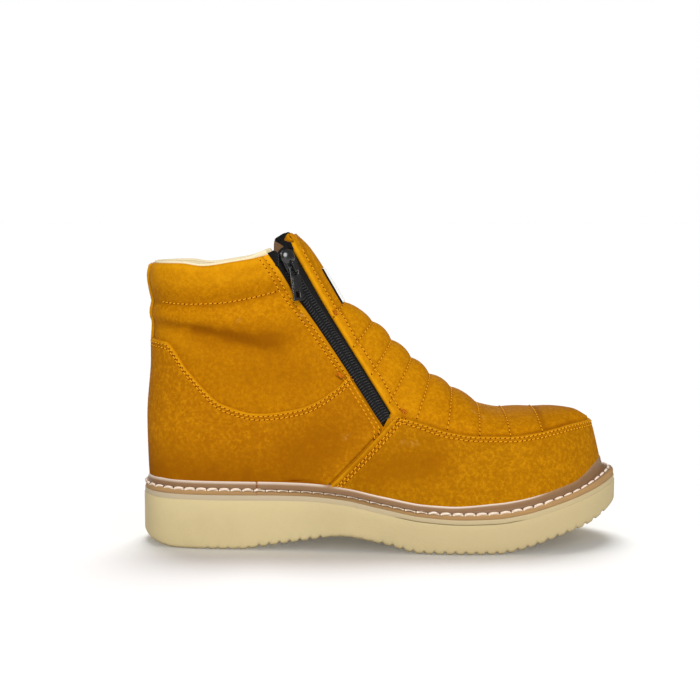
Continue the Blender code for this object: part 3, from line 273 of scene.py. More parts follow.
# The fan of sections, from the collar to the toe. Rings close behind the heel and state base_z;
# from the heel corner on, a section stands on the sole and its base width is the feather line's.
SECTIONS = table(
    "name top_x top_z base_x base_z half widest crest_round base_round crest_y",
    ("collar", -54.5, 198.8, -147.2, 181.0, 34.0, 0.50, 2.2, 2.4, 2.0),
    ("cuff", -47.0, 191.6, -147.6, 167.0, 34.6, 0.50, 2.2, 2.4, 2.0),
    ("cuff seam", -39.2, 180.6, -147.8, 152.0, 34.8, 0.50, 2.1, 2.3, 2.2),
    ("ankle", -33.6, 171.4, -147.6, 120.0, 35.6, 0.50, 2.0, 2.3, 2.5),
    ("counter", -29.4, 164.6, -150.4, 80.0, 36.0, 0.50, 2.0, 2.3, 2.8),
    ("heel corner", -26.2, 159.4, -148.4, None, 36.4, 0.50, 2.0, 2.3, 3.0),
    ("quilt 1", -23.2, 154.4, -130.0, None, 37.0, 0.52, 2.0, 2.3, 3.0),
    ("quilt 2", -5.8, 142.0, -96.0, None, 38.0, 0.56, 2.0, 2.4, 3.6),
    ("quilt 3", 6.7, 129.9, -58.0, None, 39.0, 0.62, 2.0, 2.5, 4.2),
    ("quilt 4", 19.7, 118.2, -30.0, None, 40.6, 0.68, 2.0, 2.6, 4.8),
    ("quilt 5", 31.8, 107.3, 0.0, None, 43.6, 0.70, 2.05, 2.8, 5.4),
    ("quilt 6", 45.9, 98.5, 30.0, None, 47.2, 0.68, 2.15, 3.0, 5.7),
    ("quilt 7", 62.9, 88.2, 58.0, None, 48.3, 0.64, 2.35, 3.0, 6.0),
    ("quilt 8", 77.5, 84.7, 84.0, None, 47.1, 0.60, 2.6, 3.0, 6.5),
    ("quilt 9", 93.0, 85.0, 106.0, None, 43.0, 0.58, 2.7, 3.0, 7.5),
    ("plug front", 112.0, 85.3, 125.0, None, 33.0, 0.56, 2.7, 3.0, 8.0),
    ("toe crown", 126.0, 84.0, 138.0, None, 19.0, 0.55, 2.6, 3.0, 8.5),
    ("toe", 135.8, 79.2, 145.2, None, 3.0, 0.55, 2.4, 3.0, 9.0),
)
NUMBER = {row.name: float(i) for i, row in enumerate(SECTIONS)}
HEEL_CORNER = NUMBER["heel corner"]
FIRST_QUILT, LAST_QUILT = NUMBER["quilt 1"], NUMBER["quilt 7"]
QUILT_LINES = (6.0, 7.0, 8.0, 9.0, 10.0, 11.0, 12.0, 13.15, 14.35)
TOE = NUMBER["toe"]
ZIP_END = NUMBER["quilt 4"] + 0.2
COLLAR_BLEND = NUMBER["ankle"]
WIDTH_FOLLOWS_SOLE = NUMBER["quilt 9"]

# Zip slot seen from the side: its rear and front edge at each height
ZIP_ROWS = table(
    "z rear_x front_x",
    (78.0, 1.1, 11.6),
    (115.0, -22.8, -11.5),
    (150.0, -46.6, -33.2),
    (160.0, -53.8, -38.9),
    (175.0, -62.8, -47.2),
    (190.0, -73.5, -55.5),
    (206.0, -86.0, -64.5),
)
ZIP_SQUARE = 0.846

# Lines on the upper seen from the side, each as height along X
LINE = "x z"
COLLAR_LINE = table(
    LINE,
    (-150.0, 180.9), (-127.0, 181.2), (-113.0, 179.6), (-95.0, 182.0), (-75.0, 185.6),
    (-55.0, 192.0),
)
CUFF_LINE = table(
    LINE,
    (-150.0, 156.4), (-124.0, 154.8), (-104.0, 155.6), (-76.0, 160.4), (-50.0, 168.0),
)
COUNTER_LINE = table(
    LINE,
    (-150.0, 132.6), (-136.5, 131.4), (-121.0, 113.0), (-101.5, 92.8), (-82.0, 87.0), (-60.7, 89.8),
    (-32.5, 103.2), (-10.0, 118.0),
)
MOC_LINE = table(
    LINE,
    (0.0, 87.0), (24.0, 80.5), (42.5, 74.7), (61.0, 71.9), (80.0, 71.6), (98.0, 73.1),
    (110.0, 75.0), (120.0, 76.6), (130.0, 77.3), (140.0, 77.4),
)
VAMP_REAR_TOP, VAMP_REAR_FOOT = table(LINE, (8.6, 84.6), (-33.0, 41.5))

# How high up the cuff is fullest, how far its seam pulls in, and how wide the pull and the cut are
CUFF_CROWN, SEAM_PINCH, SEAM_CUT = 1.7, 1.5, 0.5
SEAM_PINCH_HALF, SEAM_CUT_HALF = 4.5, 1.3
# Where the quilting fades beside the panel's edge, and how square its rolls are
QUILT_FADE, QUILT_SQUARE = (0.80, 1.0), 0.7
# Folded leather beside the zip: how high its bands stand, where they end, and how far their edges roll
REAR_BAND, REAR_BAND_END = 0.45, (2.6, 3.6)
FRONT_BAND, FRONT_BAND_END = 0.7, (3.8, 5.2)
REAR_ROLL, FRONT_ROLL, COLLAR_ROLL = 1.5, 1.7, 1.4

# Strokes seen from the side: bow lifts the middle off the straight line, below and above are half widths
STROKE = "x0 z0 x1 z1 bow below above size"
# Creases as soft troughs (size under 0) and ridges (over 0), in millimetres
CREASES = table(
    STROKE,
    (-158.0, 143.2, -62.0, 123.0, 4.4, 9.0, 2.2, -3.2),
    (-158.0, 149.2, -70.0, 138.0, 4.0, 3.6, 4.0, 1.3),
    (-112.0, 122.0, -74.0, 116.0, 0.0, 7.0, 7.0, 0.7),
    (-100.0, 110.0, -64.0, 118.0, 0.0, 6.0, 6.0, -0.7),
    (-70.0, 150.0, -56.0, 128.0, 0.0, 4.0, 4.0, 0.6),
    (-80.0, 170.0, -68.0, 158.0, 0.0, 3.0, 3.0, -0.6),
    (30.0, 52.0, 74.0, 62.0, 0.0, 6.0, 6.0, -0.5),
    (18.0, 60.0, 52.0, 70.0, 0.0, 5.0, 5.0, 0.4),
)
# Places rubbed pale, each from 0 to 1
SCUFFS = table(
    STROKE,
    (-24.6, 70.6, -21.0, 74.0, 0.0, 1.4, 1.4, 0.45),
    (11.0, 69.4, 24.0, 67.4, 0.0, 1.3, 1.3, 0.4),
    (-92.6, 147.0, -88.0, 141.0, 0.8, 0.4, 0.4, 0.6),
    (-54.0, 150.0, -48.0, 144.0, 1.0, 0.4, 0.4, 0.5),
    (56.0, 85.0, 67.0, 81.0, 0.8, 0.5, 0.5, 0.5),
)
# Tacks seen from the side, and how far off the upper they lie
TACKS = table(
    "x0 z0 x1 z1 lift",
    (-28.4, 111.4, -24.6, 109.0, 1.9),
    (12.6, 88.6, 15.4, 86.4, 0.2),
    (-30.9, 150.2, -28.9, 147.0, 0.2),
)
# Painted shade in the crease below the cuff, where the ankle bends
SHADES = table(
    STROKE,
    (-152.0, 144.4, -62.0, 130.6, 0.8, 4.0, 2.4, 0.7),
    (-126.0, 140.4, -50.0, 129.0, 2.0, 9.0, 8.0, 0.62),
    (-92.0, 112.0, -40.0, 112.0, 0.0, 9.0, 9.0, 0.25),
)
# Painted highlight on the ridge under the bend
GLINTS = table(STROKE, (-146.0, 139.0, -108.0, 122.0, 1.5, 4.5, 3.0, 0.4))
# Painted shade on the panels: beside the rear seam of the vamp wall and low on both sides of it
PANEL_SHADES = table(
    STROKE,
    (-56.0, 34.0, 4.0, 96.0, 0.0, 5.0, 26.0, 0.5),
    (-24.0, 50.0, 48.0, 60.0, 0.0, 14.0, 14.0, 0.8),
    (-70.0, 66.0, -22.0, 74.0, 0.0, 16.0, 16.0, 0.5),
)
# Bands of the upper, worn pale or darkened with painted shade and painted shadow: how strong, how far off the
# line that they follow, and their half width
Band = namedtuple("Band", "amount off half")
BANDS = {
    "zip edge worn": Band(0.8, 0.9, 1.0),
    "rear fold worn": Band(0.5, 2.8, 0.6),
    "collar worn": Band(0.35, 2.0, 2.2),
    "cuff seam shade": Band(0.5, -0.6, 1.2),
    "front fold shade": Band(0.5, 5.4, 0.7),
    "rear fold shade": Band(0.5, 4.2, 0.8),
    "cuff foot shade": Band(0.32, 3.0, 7.0),
    "toe seam shadow": Band(0.75, 1.0, 0.9),
    "back strip shadow": Band(2.8, 0.7, 0.8),
    "quilted line shade": Band(0.55, 0.0, 0.16),
}
TOE_SEAM_X, TOE_SEAM_END_X = (6.0, 14.0), (122.0, 132.0)
# Broad marks of the upper: how strong, and between which heights or places each comes and goes: a painted
# highlight on the cuff's upper part, wear at the front, and painted shade on the quarter and on the toe's top
CUFF_HIGHLIGHT, CUFF_HIGHLIGHT_RISE = 0.36, (6.0, 16.0)
FRONT_WORN, FRONT_WORN_X = 0.15, (20.0, 50.0)
QUARTER_SHADE, QUARTER_SHADE_RISE = 0.42, (-28.0, -6.0)
TOE_SHADE, TOE_SHADE_X = 0.3, (50.0, 130.0)
# How strong the painted shade is low on the panels towards the welt, below these heights and behind these
# places
LOW_SHADE, LOW_SHADE_Z, LOW_SHADE_X = 1.1, (44.0, 76.0), (-90.0, -30.0)
# The dark cut edge at the foot of the heel panel
STAINS = table(STROKE, (-64.0, 45.7, -34.0, 43.2, 0.0, 0.9, 0.9, 1.4))


def smooth_curve(xs, ys):
    """A function through the points that rises and falls only where they do (monotone cubic)."""
    xs, ys = np.asarray(xs, float), np.asarray(ys, float)
    step = np.diff(xs)
    slope = np.diff(ys) / step
    tangent = np.zeros_like(ys)
    tangent[0], tangent[-1] = slope[0], slope[-1]
    for i in range(1, len(xs) - 1):
        if slope[i - 1] * slope[i] > 0:
            before, after = 2 * step[i] + step[i - 1], step[i] + 2 * step[i - 1]
            tangent[i] = (before + after) / (before / slope[i - 1] + after / slope[i])

    def value(x):
        x = np.clip(np.asarray(x, float), xs[0], xs[-1])
        i = np.clip(np.searchsorted(xs, x, side="right") - 1, 0, len(step) - 1)
        u = (x - xs[i]) / step[i]
        rise = ys[i] * (1 + 2 * u) * (1 - u) ** 2 + ys[i + 1] * u * u * (3 - 2 * u)
        lean = tangent[i] * u * (1 - u) ** 2 - tangent[i + 1] * u * u * (1 - u)
        return rise + lean * step[i]

    return value


def ease(value, low, high):
    """0 below low, 1 above high, and a smooth step between them."""
    u = np.clip((np.asarray(value, float) - low) / (high - low), 0.0, 1.0)
    return u * u * (3 - 2 * u)


def fade(value, low, high):
    """1 below low, 0 above high, and a smooth step between them."""
    return 1 - ease(value, low, high)


def blend(a, b, share):
    """The value that lies a share of the way from a to b."""
    return a + (b - a) * share


def bump(value, width):
    """A soft bell of the given half width round zero."""
    return np.exp(-((np.asarray(value, float) / width) ** 2))


def closed_curve(points, count):
    """Samples of a smooth closed curve through the points, as a periodic cubic spline."""
    points = np.asarray(points, float)
    chord = np.linalg.norm(np.roll(points, -1, 0) - points, axis=1)
    n = len(points)
    system = np.zeros((n, n))
    right = np.zeros((n, 2))
    for i in range(n):
        before, after = chord[i - 1], chord[i]
        system[i, i - 1] += before
        system[i, i] += 2 * (before + after)
        system[i, (i + 1) % n] += after
        right[i] = 6 * ((points[(i + 1) % n] - points[i]) / after - (points[i] - points[i - 1]) / before)
    bend = np.linalg.solve(system, right)
    along = np.concatenate([[0.0], np.cumsum(chord)])
    samples = []
    for distance in np.linspace(0.0, along[-1], count, endpoint=False):
        i = min(int(np.searchsorted(along, distance, side="right")) - 1, n - 1)
        j, length = (i + 1) % n, chord[i]
        a, b = along[i + 1] - distance, distance - along[i]
        curve = (bend[i] * a**3 + bend[j] * b**3) / (6 * length)
        start, end = (points[k] / length - bend[k] * length / 6 for k in (i, j))
        samples.append(curve + start * a + end * b)
    return np.array(samples)


def outward(outline):
    """Unit normals of a closed outline seen from above, pointing away from it."""
    along = np.roll(outline, -1, 0) - np.roll(outline, 1, 0)
    normal = np.stack([-along[:, 1], along[:, 0]], 1)
    normal /= np.linalg.norm(normal, axis=1)[:, None]
    middle = outline.mean(0)
    facing = np.sign(((outline - middle) * normal).sum(1).mean())
    return normal * facing


class Outline:
    """A closed outline seen from above, with its outer and inner side as functions of X."""

    def __init__(self, points):
        self.points = points
        back, tip = int(points[:, 0].argmin()), int(points[:, 0].argmax())
        ring = np.roll(points, -back, 0)
        turn = (tip - back) % len(points)
        one, other = ring[: turn + 1], np.vstack([ring[turn:], ring[:1]])[::-1]
        self.outer, self.inner = (one, other) if one[:, 1].mean() < other[:, 1].mean() else (other, one)
        self.back_x, self.tip_x = points[back, 0], points[tip, 0]

    def sides(self, x):
        outer = np.interp(x, self.outer[:, 0], self.outer[:, 1])
        inner = np.interp(x, self.inner[:, 0], self.inner[:, 1])
        return outer, inner

    def inset(self, distance):
        """The outline moved inwards by a distance that may differ from point to point."""
        moved = self.points - outward(self.points) * np.reshape(distance, (-1, 1))
        return Outline(moved)


def make_plan():
    points = closed_curve([(p.x, p.y) for p in PLAN], PLAN_SAMPLES)
    points -= (points.max(0) + points.min(0)) / 2
    return Outline(points)


def curve_of(rows, along, field):
    """A smooth curve through one column of a table, along another column."""
    return smooth_curve([getattr(row, along) for row in rows], [getattr(row, field) for row in rows])


sole_bottom, sole_top, welt_margin = (
    curve_of(SOLE_ROWS, "x", field) for field in ("bottom", "top", "margin")
)
zip_rear, zip_front = (curve_of(ZIP_ROWS, "z", field) for field in ("rear_x", "front_x"))
collar_line, cuff_line, counter_line, moc_line = (
    curve_of(line, "x", "z") for line in (COLLAR_LINE, CUFF_LINE, COUNTER_LINE, MOC_LINE)
)
SOLE_PLAN = make_plan()
FEATHER = SOLE_PLAN.inset(welt_margin(SOLE_PLAN.points[:, 0]))
BACK_MIDDLE = float(FEATHER.sides(FEATHER.back_x)[0])


def seat(x):
    """Height of the midsole's top, where upper, welt and insole stand."""
    return sole_top(x) + MIDSOLE_THICK + GAP


def column(field):
    values = [getattr(row, field) for row in SECTIONS]
    if field == "base_z":
        values = [seat(row.base_x) if row.base_z is None else row.base_z for row in SECTIONS]
    return smooth_curve(range(len(SECTIONS)), values)


COLUMN = {field: column(field) for field in SECTIONS[0]._fields[1:]}


def base_sides(s):
    """Outer and inner Y of the section's base: one point on rings, the feather line on the sole."""
    x = COLUMN["base_x"](s)
    outer, inner = FEATHER.sides(x)
    ring = np.asarray(s) <= HEEL_CORNER
    return np.where(ring, BACK_MIDDLE, outer), np.where(ring, BACK_MIDDLE, inner)


def section(s):
    """Sizes of the section at number s, which may lie between two rows."""
    s = np.asarray(s, float)
    sizes = {field: curve(s) for field, curve in COLUMN.items()}
    sizes["base_z"] = np.where(s < HEEL_CORNER, sizes["base_z"], seat(sizes["base_x"]))
    outer, inner = base_sides(s)
    sizes["base_half"], sizes["base_y"] = (inner - outer) / 2, (inner + outer) / 2
    edge_outer, edge_inner = base_sides(WIDTH_FOLLOWS_SOLE)
    ratio = COLUMN["half"](WIDTH_FOLLOWS_SOLE) / ((edge_inner - edge_outer) / 2)
    sizes["half"] = np.where(s > WIDTH_FOLLOWS_SOLE, sizes["base_half"] * ratio, sizes["half"])
    return SimpleNamespace(**sizes)


def round_to_fall(w, k):
    """Share of the way down from crest to base at w, the share of the way round."""
    angle = np.clip(w, 0.0, 0.5) * math.pi
    above = k.widest * (1 - np.clip(np.cos(angle), 0.0, 1.0) ** (2 / k.crest_round))
    below = blend(k.widest, 1, np.sin(np.clip(2 * w - 1, 0.0, 1.0) * math.pi / 2))
    return np.where(w <= 0.5, above, below)


def fall_to_round(t, k):
    """The inverse of round_to_fall."""
    over = np.clip(1 - t / k.widest, 0.0, 1.0) ** (k.crest_round / 2)
    under = np.clip((t - k.widest) / (1 - k.widest), 0.0, 1.0)
    return np.where(t <= k.widest, np.arccos(over) / math.pi, 0.5 + np.arcsin(under) / math.pi)


def half_width(t, k):
    """Half width of the skin at the fall t: round at the crest, fullest at widest, base_half at the base."""
    p, q = k.crest_round, k.base_round
    above = np.clip(1 - np.clip(1 - t / k.widest, 0.0, 1.0) ** p, 0.0, 1.0) ** (1 / p)
    tuck = np.clip((t - k.widest) / (1 - k.widest), 0.0, 1.0) ** q
    kept = np.clip(k.base_half / k.half, 0.0, 1.0) ** q
    below = np.clip(1 - (1 - kept) * tuck, 0.0, 1.0) ** (1 / q)
    return k.half * np.where(t <= k.widest, above, below)


def middle_y(t, k):
    return k.crest_y + (k.base_y - k.crest_y) * ease(t, 0.0, 1.0)


def skin(s, w, side):
    """The point of the smooth skin at section s, w of the way round, on one side."""
    k = section(s)
    t = round_to_fall(w, k)
    x = blend(k.top_x, k.base_x, t)
    z = blend(k.top_z, k.base_z, t)
    y = middle_y(t, k) + side * half_width(t, k)
    return np.stack(np.broadcast_arrays(x, y, z), -1)


def skin_normal(s, w, side):
    """The outward unit normal of the smooth skin."""
    step_s, step_w = 0.02, 0.004
    s, w = np.broadcast_arrays(np.asarray(s, float), np.asarray(w, float))
    s_low, s_high = np.clip(s - step_s, 0, TOE), np.clip(s + step_s, 0, TOE)
    w_low, w_high = np.clip(w - step_w, 0, 1), np.clip(w + step_w, 0, 1)
    along = skin(s_high, w, side) - skin(s_low, w, side)
    around = skin(s, w_high, side) - skin(s, w_low, side)
    normal = np.cross(along, around) * side
    crest, ring_back = w < step_w, (w > 1 - step_w) & (s < HEEL_CORNER)
    normal[..., 1] = np.where(crest | ring_back, 0.0, normal[..., 1])
    return normal / np.linalg.norm(normal, axis=-1)[..., None]


def halve(shape, far, past, steps=40):
    """Where past(value) turns true between 0 and far, for an array of that shape, by halving."""
    low, high = np.zeros(shape), np.full(shape, far)
    for _ in range(steps):
        value = (low + high) / 2
        done = past(value)
        low, high = np.where(done, low, value), np.where(done, value, high)
    return value


def locate(x, z):
    """Section number and fall of a place seen from the side."""
    x, z = np.broadcast_arrays(np.asarray(x, float), np.asarray(z, float))

    def before(s):
        k = section(s)
        return (k.base_x - k.top_x) * (z - k.top_z) - (k.base_z - k.top_z) * (x - k.top_x) <= 0

    s = halve(x.shape, TOE, before)
    k = section(s)
    fall_x, fall_z = k.base_x - k.top_x, k.base_z - k.top_z
    t = ((x - k.top_x) * fall_x + (z - k.top_z) * fall_z) / (fall_x**2 + fall_z**2)
    return s, t


def place(x, z):
    """Section number and share of the way round of a place seen from the side."""
    s, t = locate(x, z)
    return s, fall_to_round(t, section(s))


def round_where(s, passed):
    """Share of the way round at which section s first meets passed(x, z)."""
    s = np.asarray(s, float)
    k = section(s)

    def past(t):
        return passed(blend(k.top_x, k.base_x, t), blend(k.top_z, k.base_z, t))

    return fall_to_round(halve(np.shape(s), 1.0, past), k)


def tabled(function):
    """The same function of the section number, read from a fine table."""
    numbers = np.linspace(0.0, TOE, 3401)
    values = function(numbers)
    return lambda s: np.interp(s, numbers, values)


slot_front = tabled(lambda s: round_where(np.minimum(s, ZIP_END), lambda x, z: x < zip_front(z)))
slot_rear = tabled(lambda s: round_where(np.minimum(s, ZIP_END), lambda x, z: x < zip_rear(z)))
moc_edge = tabled(lambda s: round_where(np.maximum(s, ZIP_END), lambda x, z: z < moc_line(x)))
overlay_foot = tabled(lambda s: round_where(s, lambda x, z: z < seat(x) + WELT_BEAD - OVERLAY_TUCK))


def panel_edge(s):
    """Share of the way round to the edge of the quilted front panel: the zip, then the moccasin seam."""
    return np.where(np.asarray(s) <= ZIP_END, slot_front(s), moc_edge(s))


def strokes(x, z, lines):
    """The sum of strokes at a place: each line's size times a bell across it, faded at its ends."""
    total = np.zeros(np.shape(x))
    for line in lines:
        run_x, run_z = line.x1 - line.x0, line.z1 - line.z0
        long = math.hypot(run_x, run_z)
        share = ((x - line.x0) * run_x + (z - line.z0) * run_z) / long**2
        over = ((z - line.z0) * run_x - (x - line.x0) * run_z) / long - line.bow * (1 - (2 * share - 1) ** 2)
        full = np.clip(1 - (2 * share - 1) ** 4, 0.0, 1.0)
        total += line.size * full * bump(over, np.where(over > 0, line.above, line.below))
    return total


def zip_behind(x, z):
    """Distance behind the zip's rear edge, square to it."""
    return (zip_rear(z) - x) * ZIP_SQUARE


def zip_before(x, z):
    """Distance in front of the zip's front edge, square to it."""
    return (x - zip_front(z)) * ZIP_SQUARE


def zip_edge(x, z, front):
    """Distance from the nearer edge of the zip: its front edge on the front panel, else its rear edge."""
    return np.where(front, zip_before(x, z), zip_behind(x, z))


def by_zip(z):
    """1 at the zip's heights, 0 below its foot."""
    return ease(z, ZIP_LOW_Z - 4, ZIP_LOW_Z + 2)


def edge_fall(distance, radius):
    """How far a rolled edge falls away: the radius at the edge, nothing beyond it."""
    near = np.clip(1 - np.abs(distance) / radius, 0.0, 1.0)
    return radius * (1 - np.sqrt(1 - near**2))


def quilt_phase(s):
    """How many quilted lines lie before section s, with shares of the next roll."""
    return np.interp(s, QUILT_LINES, np.arange(len(QUILT_LINES)))


def relief(s, w, side):
    """How far the leather stands off the smooth skin: quilting, cuff, creases and folded zip edges."""
    sizes = bpy.context.scene.shoe_sizes
    s, w = np.broadcast_arrays(np.asarray(s, float), np.asarray(w, float))
    point = skin(s, w, side)
    x, z = point[..., 0], point[..., 2]
    inside = fade(w / panel_edge(s), *QUILT_FADE)
    puff = np.abs(np.sin(math.pi * quilt_phase(s))) ** QUILT_SQUARE
    toe = TOE_ROLL * ease(s, QUILT_LINES[-1], QUILT_LINES[-1] + 0.5)
    quilt = (np.where(s > LAST_QUILT, TOE_ROLL, sizes.quilt_height / MM) * puff + toe) * inside
    low, high = cuff_line(x), collar_line(x)
    rise = np.clip((z - low) / (high - low), 0.0, 1.0)
    behind = ease(w, slot_rear(s), slot_rear(s) + 0.08)
    cuff = (s < COLLAR_BLEND) * behind * sizes.cuff_height / MM * np.sin(math.pi * rise**CUFF_CROWN)
    pinch = SEAM_PINCH * bump(z - low, SEAM_PINCH_HALF) + SEAM_CUT * bump(z - low, SEAM_CUT_HALF)
    off_back = 0.45 + 0.55 * ease(np.abs(point[..., 1] - BACK_MIDDLE), 5.0, 24.0)
    seam = -pinch * off_back * behind * (s < COLLAR_BLEND + 1)
    rear_of_panel = w > panel_edge(s)
    behind_zip, before_zip = zip_behind(x, z), zip_before(x, z)
    folds = off_back * strokes(x, z, CREASES) * np.where(rear_of_panel, ease(behind_zip, 1.0, 8.0), 0.0)
    rear_strip = np.where(rear_of_panel, REAR_BAND * fade(behind_zip, *REAR_BAND_END), 0.0)
    front_strip = np.where(rear_of_panel, 0.0, FRONT_BAND * fade(before_zip, *FRONT_BAND_END))
    rolled = np.where(rear_of_panel, edge_fall(behind_zip, REAR_ROLL), edge_fall(before_zip, FRONT_ROLL))
    zip_side = (rear_strip + front_strip - rolled) * by_zip(z)
    collar_roll = -edge_fall(high - z, COLLAR_ROLL) * behind * (s < COLLAR_BLEND)
    return quilt + cuff + seam + folds + zip_side + collar_roll


def surface(s, w, side, lift):
    """The point that stands lift off the padded leather, and the skin's normal there."""
    normal = skin_normal(s, w, side)
    height = np.asarray(relief(s, w, side) + lift)
    return skin(s, w, side) + normal * height[..., None], normal


def at_side(x, z, side, lift=0.0):
    """Points and normals on the leather for places seen from the side."""
    s, w = place(x, z)
    return surface(s, w, side, lift)


def grid_faces(index):
    """Quads over a grid of point numbers, as an array."""
    return np.stack([index[:-1, :-1], index[:-1, 1:], index[1:, 1:], index[1:, :-1]], -1).reshape(-1, 4)


def shell(outside, inside, faces):
    """Points and faces of a wall between two like layers, closed along every open edge."""
    count = len(outside)
    edges = np.stack([faces, np.roll(faces, -1, 1)], -1).reshape(-1, 2)
    edges = edges[edges[:, 0] != edges[:, 1]]
    _, number, uses = np.unique(np.sort(edges, 1), axis=0, return_inverse=True, return_counts=True)
    border = edges[uses[number.reshape(-1)] == 1]
    walls = np.column_stack([border[:, 1], border[:, 0], border[:, 0] + count, border[:, 1] + count])
    under = faces[:, ::-1] + count
    return np.vstack([outside, inside]), np.vstack([faces, under, walls])


def signed_volume(points, faces):
    """Volume inside a closed mesh of quads: below 0 where its faces point inwards."""
    a, b, c, d = (points[faces[:, i]] for i in range(4))
    return (np.cross(b, c) * a).sum() + (np.cross(c, d) * a).sum()


def add_object(name, data):
    """A new object in the scene, at the origin."""
    made = bpy.data.objects.new(name, data)
    bpy.context.scene.collection.objects.link(made)
    return made


def plain_mesh(made):
    """The evaluated shape of an object as a plain mesh. The object itself is removed."""
    bpy.context.view_layer.update()
    mesh = bpy.data.meshes.new_from_object(made.evaluated_get(bpy.context.evaluated_depsgraph_get()))
    made.modifiers.clear()
    bpy.data.objects.remove(made)
    return mesh


def piece(name, points, faces, finishes, paint=None, finish_index=None):
    """A closed smooth mesh piece from points in millimetres, with its faces turned outwards."""
    points, faces = np.asarray(points, float), np.asarray(faces)
    if signed_volume(points, faces) < 0:
        faces = faces[:, ::-1]
    used, number = np.unique(faces, return_inverse=True)
    number = number.reshape(faces.shape)
    corners = [list(dict.fromkeys(face)) for face in number.tolist()]
    kept = [i for i, face in enumerate(corners) if len(face) > 2]
    mesh = bpy.data.meshes.new(name)
    mesh.from_pydata((points[used] * MM).tolist(), [], [corners[i] for i in kept])
    for title in finishes:
        mesh.materials.append(bpy.data.materials[title])
    if finish_index is not None:
        mesh.polygons.foreach_set("material_index", np.asarray(finish_index)[kept].astype(np.int32))
    for title, values in (paint or {}).items():
        layer = mesh.attributes.new(title, "FLOAT", "POINT")
        layer.data.foreach_set("value", np.asarray(values, np.float32)[used])
    mesh.shade_smooth()
    return add_object(name, mesh)


def strip_piece(name, top, bottom, finish, paint=None):
    index = np.arange(top.shape[0] * top.shape[1]).reshape(top.shape[:2])
    points, faces = shell(top.reshape(-1, 3), bottom.reshape(-1, 3), grid_faces(index))
    return piece(name, points, faces, (finish,), paint)


def settle(made, body, slot, *nodes):
    """Ties a finished piece to its body and hides the solids that it stands for; its material slot is not
    used.
    """
    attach(made, body)
    if nodes:
        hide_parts(*nodes)


# Upper

def upper_rows():
    """Section numbers of the upper's rows: close at the quilted lines, the cuff and the heel corner."""
    cuff = np.linspace(0.0, 2.0, 36)[:-1]
    ankle = np.linspace(2.0, HEEL_CORNER, 46)[:-1]
    corner = HEEL_CORNER + np.linspace(0.0, 1.0, 17)[:-1] ** 1.6
    turn = (1 - np.cos(np.linspace(0.0, math.pi, 15)[:-1])) / 2
    rolls = [blend(low, high, turn) for low, high in zip(QUILT_LINES, QUILT_LINES[1:])]
    toe = TOE - (TOE - QUILT_LINES[-1]) * (1 - np.linspace(0.0, 1.0, 34)) ** 1.6
    return np.concatenate([cuff, ankle, corner, *rolls, toe])


FRONT_SHARES = 1 - (1 - np.linspace(0.0, 1.0, 28)) ** 1.5
QUARTER_SHARES = np.linspace(0.0, 1.0, 46) ** 1.4


def column_round(s):
    """Share of the way round for a grid of section numbers whose columns are the upper's."""
    count = len(FRONT_SHARES)
    front = panel_edge(s)
    rear = (front + slot_rear(s) - slot_front(s))[:, count:]
    return np.hstack([front[:, :count] * FRONT_SHARES[None, :], blend(rear, 1, QUARTER_SHARES[None, :])])


def collar_start():
    """Section number at which each column meets the collar: the front panel runs on to the top."""
    def under(s):
        point = skin(s, column_round(s), OUTER)
        return point[..., 2] < collar_line(point[..., 0])

    s = halve((1, len(FRONT_SHARES) + len(QUARTER_SHARES)), COLLAR_BLEND, under, 30)
    s[:, : len(FRONT_SHARES)] = 0.0
    return s


def upper_grid():
    """Section number and share of the way round at each row and column of the upper."""
    rows = upper_rows()[:, None]
    s = rows + collar_start() * np.clip(1 - rows / COLLAR_BLEND, 0, 1)
    return s, column_round(s)


def band(name, distance):
    """Strength of a worn or grimy band at a distance from the line that it follows."""
    kind = BANDS[name]
    return kind.amount * bump(distance - kind.off, kind.half)


def leather_paint(s, w, side):
    """Masks of the upper's leather, each from 0 to 1: worn ridges with painted highlights, painted shade in
    seams, creases and low places, and scuffs.
    """
    point = skin(s, w, side)
    x, z = point[..., 0], point[..., 2]
    front = w <= panel_edge(s)
    edge, zipped = zip_edge(x, z, front), by_zip(z)
    behind = ~front & (s < COLLAR_BLEND + 1)
    over_seam = z - cuff_line(x)
    worn = band("zip edge worn", edge) * zipped
    worn += np.where(front, 0.0, band("rear fold worn", edge) * zipped)
    worn += band("collar worn", collar_line(x) - z) * behind
    # Painted highlights: on the cuff's upper, upward-facing part, and on the ridge under the ankle's bend
    worn += CUFF_HIGHLIGHT * ease(over_seam, *CUFF_HIGHLIGHT_RISE) * behind
    worn += FRONT_WORN * front * fade(x, *FRONT_WORN_X) + strokes(x, z, GLINTS)
    # From here on the darkening is painted shade: in the quilted valleys, the seams, the crease under the
    # ankle, low on the quarter, on the cuff's lower part and the toe's top; and painted shadow in the groove
    # above the toe seam and beside the back strip
    lined = (s > QUILT_LINES[0] - 0.2) & (s < QUILT_LINES[-1] + 0.2)
    valley = band("quilted line shade", np.sin(math.pi * quilt_phase(s))) * lined
    grime = valley * front * fade(w / panel_edge(s), 0.9, 1.0)
    grime += band("cuff seam shade", over_seam) * behind
    grime += np.where(front, band("front fold shade", edge), band("rear fold shade", edge)) * zipped
    grime += strokes(x, z, SHADES) * ~front
    grime += QUARTER_SHADE * ~front * fade(over_seam, *QUARTER_SHADE_RISE)
    grime += band("cuff foot shade", over_seam) * behind
    grime += TOE_SHADE * front * ease(x, *TOE_SHADE_X)
    by_toe_seam = front * ease(x, *TOE_SEAM_X) * fade(x, *TOE_SEAM_END_X)
    grime += band("toe seam shadow", z - moc_line(x)) * by_toe_seam
    off_strip = np.abs(point[..., 1] - BACK_MIDDLE) - STRIP_HALF
    grime += band("back strip shadow", off_strip) * (x < STRIP_GAP_X)
    return worn, grime, strokes(x, z, SCUFFS)


